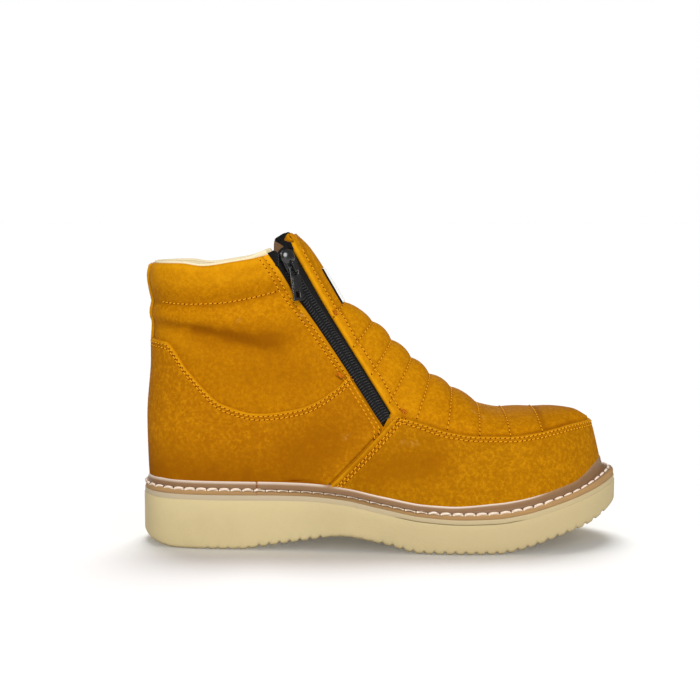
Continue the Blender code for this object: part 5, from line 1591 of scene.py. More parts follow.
def dome(half_x, half_y, high, middle_y):
    """A squashed ball that stands out of the slider's body."""
    shape = bmesh.new()
    stretch = Matrix.Diagonal((half_x * MM, half_y * MM, high * MM, 1.0))
    moved = Matrix.Translation((0.0, middle_y * MM, 0.0)) @ stretch
    bmesh.ops.create_uvsphere(shape, u_segments=36, v_segments=24, radius=1.0, matrix=moved)
    mesh = bpy.data.meshes.new("dome")
    shape.to_mesh(mesh)
    shape.free()
    return mesh


def make_slider(word, side):
    """The slider's body with the bridge that the pull tab hangs from."""
    base, top = SLIDER_LIFT, SLIDER_LIFT + SLIDER_THICK
    shoulder, middle = SLIDER_WIDE / 2, (SLIDER_LOW + SLIDER_HIGH) / 2
    body = [
        (shoulder - SLIDER_TAPER, SLIDER_LOW),
        (shoulder - 0.5, SLIDER_LOW * 0.3),
        (shoulder, middle),
        (shoulder, SLIDER_HIGH - SLIDER_CORNER),
        (shoulder - 0.4, SLIDER_HIGH - 0.5),
        (shoulder - SLIDER_CORNER, SLIDER_HIGH),
    ]
    outline = body + [(-x, y) for x, y in reversed(body)]
    crown = [(x * 0.7, blend(middle, y, 0.8)) for x, y in outline]
    bridge = plate(
        rounded(BRIDGE_HALF_LONG, top - 0.9, top + BRIDGE_HOLE + BRIDGE_TOP, BRIDGE_TOP),
        (rounded(BRIDGE_HALF_LONG - BRIDGE_LEG, top - 0.5, top + BRIDGE_HOLE, BRIDGE_TOP / 2),),
        -BRIDGE_WIDE / 2,
        BRIDGE_WIDE / 2,
        0.35,
    )
    bridge.transform(Matrix(((0, 0, 1, 0), (1, 0, 0, 0), (0, 1, 0, 0), (0, 0, 0, 1))))
    meshes = [
        plate(outline, (), base, top, 0.4),
        plate(crown, (), base + 0.3, top + 0.35, 0.45),
        dome(DOME_HALF_WIDE, DOME_HALF_LONG, DOME_HIGH, SLIDER_HIGH - DOME_HALF_LONG + 1.3),
        bridge,
    ]
    made = plate_piece(f"slider_body_{word}", meshes, slider_frame(side), "Slider enamel")
    settle(made, "shoe", "slider_metal", f"zip_slider_{word}")


def make_pull(word, side):
    """The pull tab, hanging down the zip from a bar under the bridge."""
    low, ring_low = PULL_BAR / 2 - PULL_LONG, -PULL_BAR / 2 - PULL_RING_HOLE_LONG
    slot_low = low + PULL_SLOT_FROM_END
    tab = plate(
        rounded(PULL_HALF, low, PULL_BAR / 2, PULL_RING_ROUND, PULL_CORNER),
        (
            rounded(PULL_RING_HOLE_HALF, ring_low, -PULL_BAR / 2, PULL_RING_CORNER),
            rounded(PULL_SLOT_HALF, slot_low, slot_low + PULL_SLOT_LONG, PULL_SLOT_CORNER),
        ),
        -PULL_THICK / 2,
        PULL_THICK / 2,
        0.35,
    )
    rim = rounded(PULL_HALF - 0.9, slot_low + PULL_SLOT_LONG + 1.2, ring_low - 1.0, 1.2)
    boss = plate(rim, (), -PULL_THICK / 2 - 0.25, PULL_THICK / 2 + 0.25, 0.25)
    axis_height = SLIDER_LIFT + SLIDER_THICK + BRIDGE_HOLE / 2
    raised = Matrix.Translation((0.0, 0.0, axis_height * MM))
    turned = Matrix.Rotation(math.radians(side * PULL_TURN_DEG), 4, "Z")
    tilted = Matrix.Rotation(math.radians(-PULL_TILT_DEG), 4, "X")
    hung = slider_frame(side) @ raised @ turned @ tilted
    made = plate_piece(f"pull_tab_{word}", [tab, boss], hung, "Slider enamel")
    settle(made, f"pull_{word}", "slider_metal", f"zip_pull_{word}")


# Stitches

class Nodes:
    """Adds nodes to one tree and gives their outputs. An input that is a socket is linked, else set."""

    def __init__(self, tree):
        self.tree = tree

    def link(self, start, end):
        self.tree.links.new(start, end)

    def add(self, kind, inputs=None, **settings):
        made = self.tree.nodes.new(kind)
        for field, value in settings.items():
            setattr(made, field, value)
        for socket, value in (inputs or {}).items():
            if isinstance(value, bpy.types.NodeSocket):
                self.link(value, made.inputs[socket])
            else:
                made.inputs[socket].default_value = value
        return made.outputs

    def math(self, operation, a, b=0.0, clamp=False):
        return self.add("ShaderNodeMath", {0: a, 1: b}, operation=operation, use_clamp=clamp)[0]

    def vector(self, x=0.0, y=0.0, z=0.0):
        return self.add("ShaderNodeCombineXYZ", {0: x, 1: y, 2: z})[0]

    def mix(self, factor, a, b):
        return self.add("ShaderNodeMix", {0: factor, 6: a, 7: b}, data_type="RGBA")[2]

    def remap(self, value, low, high, to_low=0.0, to_high=1.0):
        return self.add("ShaderNodeMapRange", {0: value, 1: low, 2: high, 3: to_low, 4: to_high})[0]

    def noise(self, vector, scale, detail=3.0, rough=0.55, warp=0.0):
        sizes = {"Scale": scale, "Detail": detail, "Roughness": rough, "Distortion": warp}
        return self.add("ShaderNodeTexNoise", {"Vector": vector, **sizes})[0]

    def spot(self):
        return self.add("ShaderNodeTexCoord")["Object"]

    def stretched(self, scale, turn=0.0):
        """Object coordinates, turned about Y and then stretched."""
        turned = self.add("ShaderNodeMapping", {"Vector": self.spot(), "Rotation": (0.0, turn, 0.0)})[0]
        return self.add("ShaderNodeMapping", {"Vector": turned, "Scale": scale})[0]

    def paint(self, name):
        return self.add("ShaderNodeAttribute", attribute_name=name)["Fac"]

    def bump(self, shader, height, strength, depth):
        inputs = {"Height": height, "Strength": strength, "Distance": depth * MM}
        self.link(self.add("ShaderNodeBump", inputs)[0], shader["Normal"])

    def group(self, group, **values):
        inputs = {title.replace("_", " "): value for title, value in values.items()}
        return self.add("ShaderNodeGroup", inputs, node_tree=group)


def stitch_tree():
    """Geometry Nodes that lay arched stitches and their holes along paths."""
    tree = bpy.data.node_groups.new("Thread stitches", "GeometryNodeTree")
    sockets = [("Geometry", "INPUT", "Geometry")]
    sockets += [(title, "INPUT", "Float") for title in STITCH_SIZES]
    sockets += [(title, "INPUT", "Material") for title in ("Thread", "Hole")]
    sockets += [("Geometry", "OUTPUT", "Geometry")]
    for title, way, kind in sockets:
        tree.interface.new_socket(title, in_out=way, socket_type="NodeSocket" + kind)
    given = tree.nodes.new("NodeGroupInput").outputs
    out = tree.nodes.new("NodeGroupOutput").inputs
    net = Nodes(tree)
    path = net.add("GeometryNodeMeshToCurve", {"Mesh": given["Geometry"]})[0]
    spaced = net.add("GeometryNodeResampleCurve", {"Curve": path, "Length": given["Pitch"]}, mode="LENGTH")[0]
    tangent = net.add("GeometryNodeInputTangent")[0]
    lie = net.add("GeometryNodeInputNamedAttribute", {"Name": "lie"}, data_type="FLOAT_VECTOR")[0]
    along = net.add("FunctionNodeAlignRotationToVector", {"Vector": tangent}, axis="X")[0]
    flat = {"Rotation": along, "Vector": lie}
    laid = net.add("FunctionNodeAlignRotationToVector", flat, axis="Z", pivot_axis="X")[0]
    wander = net.add("FunctionNodeRandomValue", {"Seed": STITCH_SEED}, data_type="FLOAT")[1]
    spread = net.math("MULTIPLY", net.math("SUBTRACT", wander, 0.5), given["Wander"])
    slant = net.math("ADD", given["Slant"], spread)
    turn = net.add("FunctionNodeEulerToRotation", {0: net.vector(z=slant)})[0]
    turned = net.add("FunctionNodeRotateRotation", {0: laid, 1: turn}, rotation_space="LOCAL")[0]
    half = net.math("MULTIPLY", given["Stitch Length"], 0.5)
    back = net.math("MULTIPLY", half, -1.0)
    sunk = net.math("MULTIPLY", given["Thread Radius"], -1.0)
    start, end = (net.vector(x=x, z=sunk) for x in (back, half))
    bow = {"Resolution": 8, "Start": start, "Middle": net.vector(z=given["Rise"]), "End": end}
    arch = net.add("GeometryNodeCurveQuadraticBezier", bow)[0]
    ring = net.add("GeometryNodeCurvePrimitiveCircle", {"Resolution": 7, "Radius": given["Thread Radius"]})[0]
    swept = {"Curve": arch, "Profile Curve": ring, "Fill Caps": True}
    thread = net.add("GeometryNodeSetShadeSmooth", {0: net.add("GeometryNodeCurveToMesh", swept)[0]})[0]
    pit = net.add("GeometryNodeMeshIcoSphere", {"Radius": given["Hole Radius"], "Subdivisions": 2})[0]
    between = net.vector(x=net.math("MULTIPLY", given["Pitch"], 0.5))
    pressed = {"Geometry": pit, "Translation": between, "Scale": HOLE_STRETCH}
    pit = net.add("GeometryNodeTransform", pressed)[0]
    marked = {"Geometry": pit, "Name": "hole", "Value": True}
    pit = net.add("GeometryNodeStoreNamedAttribute", marked, data_type="BOOLEAN", domain="FACE")[0]
    joined = tree.nodes.new("GeometryNodeJoinGeometry")
    for shape, rotation in ((thread, turned), (pit, laid)):
        spots = {"Points": spaced, "Instance": shape, "Rotation": rotation}
        net.link(net.add("GeometryNodeInstanceOnPoints", spots)[0], joined.inputs[0])
    real = net.add("GeometryNodeRealizeInstances", {0: joined.outputs[0]})[0]
    sewn = net.add("GeometryNodeSetMaterial", {"Geometry": real, "Material": given["Thread"]})[0]
    is_hole = net.add("GeometryNodeInputNamedAttribute", {"Name": "hole"}, data_type="BOOLEAN")[0]
    pierced = {"Geometry": sewn, "Selection": is_hole, "Material": given["Hole"]}
    net.link(net.add("GeometryNodeSetMaterial", pierced)[0], out[0])
    return tree


def path_mesh(name, paths):
    """An edge mesh of open or closed paths, which carries the normals that stitches lie by."""
    points, normals, edges = [], [], []
    for spots, lies, closed in paths:
        first = len(points)
        points += list(np.asarray(spots) * MM)
        normals += list(np.asarray(lies))
        count = len(spots)
        edges += [(first + i, first + i + 1) for i in range(count - 1)]
        if closed:
            edges.append((first + count - 1, first))
    mesh = bpy.data.meshes.new(name)
    mesh.from_pydata([tuple(p) for p in points], edges, [])
    layer = mesh.attributes.new("lie", "FLOAT_VECTOR", "POINT")
    layer.data.foreach_set("vector", np.array(normals, np.float32).reshape(-1))
    return mesh


def stitch_sizes(pitch, long, radius, rise, slant_deg, hole, wander):
    """Inputs of the stitch nodes: lengths in metres apart from the rise."""
    return dict(zip(STITCH_SIZES, (pitch, long, radius, rise * MM, math.radians(slant_deg), hole, wander)))


def stitch_piece(name, paths, thread, hole, sizes, slot=None):
    """Runs the stitch nodes over paths and keeps the result as a plain mesh."""
    tree = bpy.data.node_groups["Thread stitches"]
    guide = add_object(name + "_path", path_mesh(name + "_path", paths))
    nodes = guide.modifiers.new("stitches", "NODES")
    nodes.node_group = tree
    values = {"Thread": bpy.data.materials[thread], "Hole": bpy.data.materials[hole], **sizes}
    for item in tree.interface.items_tree:
        if item.in_out == "INPUT" and item.name in values:
            nodes[item.identifier] = values[item.name]
    mesh = plain_mesh(guide)
    mesh.name = name
    settle(add_object(name, mesh), "shoe", slot)


# Finishes

def shader_group(name, inputs, outputs):
    """A shader node group with named sockets: colours where their first values are, else numbers."""
    tree = bpy.data.node_groups.new(name, "ShaderNodeTree")
    for way, sockets in (("INPUT", inputs), ("OUTPUT", outputs)):
        for title, value in sockets.items():
            kind = "NodeSocketColor" if isinstance(value, tuple) else "NodeSocketFloat"
            tree.interface.new_socket(title, in_out=way, socket_type=kind).default_value = value
    return Nodes(tree), tree.nodes.new("NodeGroupInput").outputs, tree.nodes.new("NodeGroupOutput").inputs


def brushed_leather_group():
    """Smooth brushed leather: soft clouds, hair scratches, pale worn edges and painted highlights, dark seams
    and creases of painted shade, and painted shadow in gaps.
    """
    colours = {title: GREY for title in ("Tone", "Pale", "Dark", "Rubbed", "Cut")}
    net, given, out = shader_group(
        "Brushed leather", {**colours, "Scratches": 0.2}, {"Colour": GREY, "Roughness": 0.5, "Height": 0.0}
    )
    spot = net.spot()
    cloud = net.noise(spot, 22.0, 3.0)
    mottle = net.noise(spot, 130.0, 4.0, 0.6)
    fleck = net.noise(spot, 420.0, 3.0, 0.65)
    pore = net.noise(spot, 1500.0, 2.0)
    pale = net.remap(mottle, 0.45, 0.75, 0.0, 0.22)
    hairs = 0.0
    for turn, gate_scale in ((0.45, 31.0), (-0.8, 37.0), (1.5, 43.0)):
        field = net.noise(net.stretched((420.0, 420.0, 28.0), turn), 1.0, 2.0, 0.5, 0.3)
        off_line = net.math("ABSOLUTE", net.math("SUBTRACT", field, 0.5))
        line = net.remap(off_line, 0.0, 0.035, 1.0, 0.0)
        gate = net.remap(net.noise(spot, gate_scale, 2.0), 0.5, 0.68)
        hairs = net.math("ADD", hairs, net.math("MULTIPLY", line, gate))
    scratched = net.math("MULTIPLY", hairs, given["Scratches"], True)
    breakup = net.remap(mottle, 0.3, 0.7, 0.6, 1.1)
    worn = net.math("MULTIPLY", net.paint("worn"), breakup, True)
    grime = net.math("MULTIPLY", net.paint("grime"), breakup, True)
    rub = net.remap(net.noise(net.stretched((900.0, 900.0, 240.0), 0.9), 1.0, 3.0), 0.42, 0.66)
    scuffed = net.math("MULTIPLY", net.paint("scuffed"), rub, True)
    base = given["Tone"]
    for share, tone in (
        (net.remap(cloud, 0.34, 0.6, 0.2, 0.0), "Dark"),
        (pale, "Pale"),
        (net.remap(fleck, 0.55, 0.35, 0.0, 0.4), "Dark"),
        (net.remap(fleck, 0.5, 0.7, 0.0, 0.4), "Pale"),
        (net.remap(pore, 0.55, 0.25, 0.0, 0.5), "Dark"),
        (scratched, "Pale"),
        (worn, "Pale"),
        (grime, "Dark"),
        # Above 1.5 the mask takes the darkest colour: painted shadow in the gaps beside the back strip, and
        # the dark cut edge at the heel panel's foot
        (net.remap(net.paint("grime"), 1.5, 2.2), "Cut"),
        (scuffed, "Rubbed"),
    ):
        base = net.mix(share, base, given[tone])
    net.link(base, out["Colour"])
    rough = net.math("SUBTRACT", 0.8, net.math("MULTIPLY", pale, 0.3))
    net.link(net.math("ADD", rough, net.math("MULTIPLY", grime, 0.1)), out["Roughness"])
    grain, cuts = net.math("MULTIPLY", pore, 0.5), net.math("MULTIPLY", scratched, 0.6)
    fine = net.math("SUBTRACT", grain, cuts)
    net.link(net.math("ADD", fine, mottle), out["Height"])
    return net.tree


def woven_group():
    """Threads over and under, with a height for bump and a mask of the upper threads."""
    net, given, out = shader_group("Woven threads", {"Thread Count": 1200.0}, {"Height": 0.0, "Mask": 0.0})
    spot = net.spot()
    parts = net.add("ShaderNodeSeparateXYZ", {0: spot})
    sloped = net.math("ADD", parts[0], net.math("MULTIPLY", parts[2], 0.6))
    other = net.math("SUBTRACT", parts[2], net.math("MULTIPLY", parts[0], 0.6))
    warp = net.math("SINE", net.math("MULTIPLY", sloped, given["Thread Count"]))
    weft = net.math("SINE", net.math("MULTIPLY", other, given["Thread Count"]))
    weave = net.math("MULTIPLY", warp, weft)
    fuzz = net.noise(spot, 1800.0, 2.0)
    net.link(net.math("ADD", weave, fuzz), out["Height"])
    net.link(net.remap(weave, -0.4, 0.6), out["Mask"])
    return net.tree


def speckle_group():
    """Fine specks and soft stains for moulded rubber and foam."""
    net, given, out = shader_group(
        "Speckled rubber", {"Tone": GREY, "Stain": GREY, "Speck": 0.4}, {"Colour": GREY, "Height": 0.0}
    )
    spot = net.spot()
    cloud = net.noise(spot, 40.0, 4.0, 0.6)
    speck = net.noise(spot, 1300.0, 2.0, 0.5)
    base = net.mix(net.remap(cloud, 0.42, 0.75, 0.0, 0.45), given["Tone"], given["Stain"])
    dots = net.math("MULTIPLY", net.remap(speck, 0.58, 0.7), given["Speck"])
    base = net.mix(dots, base, given["Stain"])
    # The stain colour grows towards the toe, along X
    ahead = net.add("ShaderNodeSeparateXYZ", {0: spot})[0]
    base = net.mix(net.remap(ahead, -0.06, 0.10, 0.0, 0.9), base, given["Stain"])
    net.link(base, out["Colour"])
    net.link(net.math("ADD", speck, net.math("MULTIPLY", cloud, 0.5)), out["Height"])
    return net.tree


def finish(name, roughness=0.6, sheen=0.0, coat=0.0, specular=0.5):
    """A material with its fixed values set on the shader. Returns it, its nodes and its shader's inputs."""
    made = bpy.data.materials.new(name)
    made.use_nodes = True
    shader = made.node_tree.nodes["Principled BSDF"].inputs
    fixed = {
        "Roughness": roughness,
        "Sheen Weight": sheen,
        "Sheen Roughness": SHEEN_ROUGHNESS,
        "Coat Weight": coat,
        "Coat Roughness": COAT_ROUGHNESS,
        "Specular IOR Level": specular,
    }
    for title, value in fixed.items():
        shader[title].default_value = value
    return made, Nodes(made.node_tree), shader


def leather_finish(name, group, tone, pale, dark, rubbed, cut, scratches=0.2):
    # The cut colour paints the darkest places: the painted shadow in the gaps beside the back strip and the
    # dark cut edge at the heel panel's foot
    made, net, shader = finish(name, specular=0.03)
    parts = net.group(group, Tone=tone, Pale=pale, Dark=dark, Rubbed=rubbed, Cut=cut, Scratches=scratches)
    net.link(parts["Colour"], shader["Base Color"])
    net.link(parts["Roughness"], shader["Roughness"])
    net.bump(shader, parts["Height"], 0.3, 0.3)
    return made


def rubber_finish(name, group, tone, stain, speck, roughness, depth):
    made, net, shader = finish(name, roughness=roughness)
    parts = net.group(group, Tone=tone, Stain=stain, Speck=speck)
    net.link(parts["Colour"], shader["Base Color"])
    net.bump(shader, parts["Height"], 0.4, depth)
    return made


def cloth_finish(name, group, tone, shade, count, rim=None):
    """Woven cloth, with a rim of another colour where its mask of grime and painted shade is high."""
    made, net, shader = finish(name, roughness=0.9, sheen=0.1, specular=0.15)
    parts = net.group(group, Thread_Count=count)
    base = net.mix(parts["Mask"], shade, tone)
    if rim:
        base = net.mix(net.remap(net.paint("grime"), 0.2, 0.3), base, rim)
    net.link(base, shader["Base Color"])
    net.bump(shader, parts["Height"], 0.4, 0.12)
    return made


def welt_finish(name, colours):
    """Glossy brown on the bead and ledge, raw tan on the cut edge, with painted shade beside the stitches and
    a painted highlight on the bead's rim.
    """
    made, net, shader = finish(name, specular=0.15)
    spot = net.spot()
    streak = net.noise(net.stretched((60.0, 60.0, 900.0)), 1.0, 3.0)
    cloud = net.noise(spot, 120.0, 4.0)
    brown = net.mix(net.remap(cloud, 0.35, 0.7, 0.0, 0.2), colours.welt, colours.welt_dark)
    tan = net.mix(net.remap(streak, 0.4, 0.7, 0.0, 0.6), colours.welt_edge, colours.welt)
    base = net.mix(net.remap(net.paint("browned"), 0.3, 0.7), tan, brown)
    masks = {"shaded": colours.welt_dark, "shining": colours.welt_highlight, "grime": colours.seam_dark}
    for mask, tone in masks.items():
        base = net.mix(net.paint(mask), base, tone)
    net.link(base, shader["Base Color"])
    net.link(net.remap(net.paint("browned"), 0.2, 0.8, 0.8, 0.45), shader["Roughness"])
    net.bump(shader, net.math("ADD", streak, cloud), 0.25, 0.2)
    return made


def thread_finish(name, tone, shade, specular=0.08):
    """Twisted thread: fine slanting lines along each stitch."""
    made, net, shader = finish(name, roughness=0.7, specular=specular)
    twist = net.noise(net.stretched((2200.0, 2200.0, 2200.0)), 1.0, 2.0)
    net.link(net.mix(net.remap(twist, 0.35, 0.65), shade, tone), shader["Base Color"])
    net.bump(shader, twist, 0.4, 0.1)
    return made


def metal_finish(name, tone):
    """Black enamelled metal with rubbed corners."""
    made, net, shader = finish(name, roughness=0.2, coat=0.6)
    wear = net.noise(net.stretched((400.0, 400.0, 400.0)), 1.0, 4.0)
    grey = tuple(min(1.0, c * 6 + 0.03) for c in tone[:3]) + (1.0,)
    net.link(net.mix(net.remap(wear, 0.62, 0.78, 0.0, 0.35), tone, grey), shader["Base Color"])
    net.link(net.remap(wear, 0.3, 0.7, 0.2, 0.3), shader["Roughness"])
    return made


def make_finishes(colours):
    """Every material of the shoe. The pieces find them by name."""
    leather, woven, speckle = brushed_leather_group(), woven_group(), speckle_group()
    shades = (colours.leather_pale, colours.leather_dark, colours.rubbed, colours.seam_dark)
    leather_finish("Upper leather", leather, colours.leather, *shades)
    leather_finish("Overlay leather", leather, colours.overlay, *shades)
    leather_finish("Heel leather", leather, colours.heel, *shades)
    facing = colours.facing
    leather_finish("Facing leather", leather, facing, facing, colours.seam_dark, facing, facing, 0.0)
    cloth_finish("Lining cloth", woven, colours.lining, colours.lining_shade, 5600.0)
    cloth_finish("Zip tape", woven, colours.zip_tape, colours.zip_black, 5200.0)
    cloth_finish("Patch cloth", woven, colours.patch, colours.patch_shade, 5200.0, colours.zip_black)
    thread_finish("Zip coil", colours.zip_glint, colours.zip_tape)
    metal_finish("Slider enamel", colours.zip_black)
    rubber_finish("Sole foam", speckle, colours.sole, colours.sole_stain, 0.35, 0.8, 0.3)
    rubber_finish("Midsole rubber", speckle, colours.midsole, colours.sole_stain, 0.2, 0.65, 0.2)
    welt_finish("Welt leather", colours)
    thread_finish("Panel thread", colours.thread, colours.thread_shade)
    thread_finish("Welt thread", colours.welt_thread, colours.welt_thread_shade)
    thread_finish("Tack thread", colours.tack_thread, colours.seam_dark)
    # Painted shadow of the stitch holes and of the rolled edge's hollow
    thread_finish("Stitch hole", colours.seam_dark, colours.seam_dark, 0.0)


def length(name, description, value_mm):
    """A length property whose default is given in millimetres."""
    return bpy.props.FloatProperty(
        name=name, description=description, default=value_mm * MM, min=0.0, unit="LENGTH", precision=5
    )


def paint_colour(name, description, red, green, blue):
    """A colour property, in linear light."""
    return bpy.props.FloatVectorProperty(
        name=name, description=description, default=(red, green, blue, 1.0), size=4, subtype="COLOR", min=0.0
    )


class ShoeSizes(bpy.types.PropertyGroup):
    """Sizes of the shoe's soft relief and its stitches."""

    quilt_height: length("Quilt Height", "How far a quilted roll stands up", 2.3)
    cuff_height: length("Cuff Height", "How far the padded cuff stands out", 2.0)
    stitch_pitch: length("Stitch Pitch", "Distance from stitch to stitch on panels", 3.1)
    stitch_length: length("Stitch Length", "Length of a panel stitch", 2.35)
    thread_radius: length("Thread Radius", "Half the thickness of the panel thread", 0.33)
    hole_radius: length("Hole Radius", "Half the width of a stitch hole", 0.5)
    welt_pitch: length("Welt Pitch", "Distance from stitch to stitch on the welt", 7.45)
    welt_stitch: length("Welt Stitch", "Length of a welt stitch", 6.6)
    welt_thread: length("Welt Thread", "Half the thickness of the welt thread", 0.85)
    coil_pitch: length("Coil Pitch", "Distance from turn to turn of the zip's coil", 1.8)


class ShoeColours(bpy.types.PropertyGroup):
    """Colours of the shoe's finishes."""

    leather: paint_colour("Leather", "Mustard leather", 0.460, 0.176, 0.0003)
    # Leather Pale also paints the highlights on the cuff and the ridge under the bend; Leather Dark also
    # paints the shade in seams, creases and low places
    leather_pale: paint_colour("Leather Pale", "Leather on worn edges and scratches", 0.62, 0.270, 0.0030)
    leather_dark: paint_colour("Leather Dark", "Leather in seams and shaded clouds", 0.245, 0.078, 0.0003)
    overlay: paint_colour("Overlay", "Leather of the vamp wall and the back strip", 0.345, 0.137, 0.0003)
    heel: paint_colour("Heel", "Browner leather of the heel panels", 0.360, 0.128, 0.0006)
    rubbed: paint_colour("Rubbed", "Leather rubbed through to its pale fibre", 0.60, 0.34, 0.08)
    facing: paint_colour("Facing", "Brown facing behind the zip", 0.13, 0.085, 0.045)
    lining: paint_colour("Lining", "Cream lining", 0.82, 0.74, 0.52)
    lining_shade: paint_colour("Lining Shade", "Lining between its threads", 0.66, 0.55, 0.34)
    patch: paint_colour("Patch", "Blank patch", 0.95, 0.95, 0.94)
    patch_shade: paint_colour("Patch Shade", "Patch between its threads", 0.86, 0.86, 0.85)
    zip_black: paint_colour("Zip Black", "Black of the slider and the patch's rim", 0.005, 0.005, 0.0055)
    zip_tape: paint_colour("Zip Tape", "Lit threads of the zip tape", 0.009, 0.0085, 0.009)
    zip_glint: paint_colour("Zip Glint", "Lit turns of the coil", 0.060, 0.059, 0.060)
    welt: paint_colour("Welt", "Glossy brown of the welt", 0.285, 0.166, 0.083)
    # Welt Dark is also the painted shade beside the welt's stitches and under the leather's edge
    welt_dark: paint_colour("Welt Dark", "Welt beside its stitches", 0.155, 0.082, 0.038)
    # Welt Pale is a painted highlight along the bead's top edge
    welt_highlight: paint_colour("Welt Pale", "Rubbed top edge of the welt", 0.84, 0.75, 0.67)
    welt_edge: paint_colour("Welt Edge", "Cut edge of the welt", 0.345, 0.202, 0.08)
    midsole: paint_colour("Midsole", "Pale midsole", 0.4, 0.322, 0.21)
    sole: paint_colour("Sole", "Cream wedge sole", 0.50, 0.405, 0.210)
    sole_stain: paint_colour("Sole Stain", "Soft stains on the sole", 0.43, 0.34, 0.175)
    thread: paint_colour("Thread", "Golden panel thread", 0.80, 0.37, 0.012)
    thread_shade: paint_colour("Thread Shade", "Panel thread in its twist", 0.60, 0.23, 0.003)
    welt_thread: paint_colour("Welt Thread", "White welt thread", 0.86, 0.76, 0.66)
    welt_thread_shade: paint_colour("Welt Thread Shade", "Welt thread in its twist", 0.62, 0.48, 0.36)
    tack_thread: paint_colour("Tack Thread", "Red-orange tacking thread", 0.72, 0.22, 0.003)
    # Seam Dark is also the colour of the painted shadows: in the stitch holes, the rolled edge's hollow and
    # the gaps beside the back strip
    seam_dark: paint_colour("Seam Dark", "Stitch holes and cuts", 0.13, 0.026, 0.0005)


class SHOE_OT_finishes(bpy.types.Operator):
    """Makes every material of the shoe"""

    bl_idname = "shoe.finishes"
    bl_label = "Make Finishes"

    def execute(self, context):
        make_finishes(context.scene.shoe_colours)
        return {"FINISHED"}


class SHOE_OT_upper(bpy.types.Operator):
    """Makes the hollow upper, with its quilted front, padded cuff and lining"""

    bl_idname = "shoe.upper"
    bl_label = "Make Upper"

    def execute(self, context):
        make_upper()
        make_lining_edge()
        return {"FINISHED"}


class SHOE_OT_panels(bpy.types.Operator):
    """Makes the panels that lie on the upper"""

    bl_idname = "shoe.panels"
    bl_label = "Make Panels"

    def execute(self, context):
        for name in PANELS:
            make_panel(name)
        return {"FINISHED"}


class SHOE_OT_sole(bpy.types.Operator):
    """Makes the wedge sole, the midsole, the insole and the welt"""

    bl_idname = "shoe.sole"
    bl_label = "Make Sole"

    def execute(self, context):
        make_outsole()
        foot = MIDSOLE_THICK + GAP
        edge = SOLE_PLAN.inset(WELT_EDGE_INSET / 2)
        profile = soft_layer(GAP, foot - MIDSOLE_SET_DOWN, MIDSOLE_SOFT, MIDSOLE_SUNK)
        made = layer_piece("midsole_layer", edge, profile, "Midsole rubber")
        settle(made, "shoe", "midsole_rubber", "midsole")
        bed = soft_layer(foot, foot + INSOLE_THICK, INSOLE_SOFT)
        made = layer_piece("footbed", FEATHER.inset(WALL + INSOLE_EASE), bed, "Lining cloth")
        settle(made, "shoe", "lining_fabric", "insole")
        make_welt()
        return {"FINISHED"}


ZIP_MAKERS = (
    make_zip_tape, make_zip_facing, make_tape_end, make_edge_roll, make_chain_bed, make_coil, make_slider,
    make_pull
)


class SHOE_OT_zips(bpy.types.Operator):
    """Makes both zips: tape, coil, slider and pull tab"""

    bl_idname = "shoe.zips"
    bl_label = "Make Zips"

    def execute(self, context):
        stitch_tree()
        for word, side in SIDES.items():
            for make in ZIP_MAKERS:
                make(word, side)
        return {"FINISHED"}


def panel_seams():
    """Paths of every row of panel stitches."""
    paths = [seam_row("vamp_panel", "top", row) for row in SEAM_ROWS]
    for border in ("start", "end"):
        for row in REAR_SEAM_ROWS:
            paths.append(seam_row("vamp_panel", border, row, "top", SEAM_ROWS[0]))
    for word in SIDES:
        for row in SEAM_ROWS:
            paths.append(seam_row(f"heel_panel_{word}", "top", row))
    for border in ("start", "end"):
        points, normals, closed = seam_row("heel_strip", border, STRIP_ROW)
        paths.append((points - STRIP_THREAD_SINK * normals, normals, closed))
    return paths


def upper_seams(side):
    """Paths of the stitches on the upper itself: round the cuff, along the zip and down the quilted lines."""
    paths = []
    x = np.linspace(*CUFF_SEAM_X, 120)
    paths.append((*at_side(x, cuff_line(x) + CUFF_SEAM_RISE, side, CUFF_SEAM_LIFT), False))
    for near, far in REAR_SEAMS:
        z = np.linspace(*REAR_SEAM_Z, 190)
        x = zip_rear(z) - blend(near, far, ease(z, *REAR_SEAM_SPREAD_Z)) / ZIP_SQUARE
        clear = x < vamp_rear_x(z) - 1.5
        x, z = x[clear], z[clear]
        lift = (OVERLAY_LIFT + COUNTER_THICK - SEAM_DEPTH) * ease(counter_line(x) - z, -0.5, 1.0)
        paths.append((*at_side(x, z, side, lift), False))
    z = np.linspace(*FRONT_SEAM_Z, 150)
    away = FRONT_SEAM - FRONT_SEAM_NEARER * ease(z, *FRONT_SEAM_NEARER_Z)
    paths.append((*at_side(zip_front(z) + away / ZIP_SQUARE, z, side, 0.0), False))
    share = np.linspace(*QUILT_SEAM_SHARES, 60)
    for line in QUILT_LINES:
        at = np.full(share.shape, line)
        paths.append((*surface(at, share * panel_edge(at), side, 0.0), False))
    return paths


def tacks(side):
    """Short close rows of tacking stitches where seams end at the zip."""
    paths = []
    for tack in TACKS:
        x, z = (np.linspace(a, b, 12) for a, b in ((tack.x0, tack.x1), (tack.z0, tack.z1)))
        paths.append((*at_side(x, z, side, tack.lift), False))
    return paths


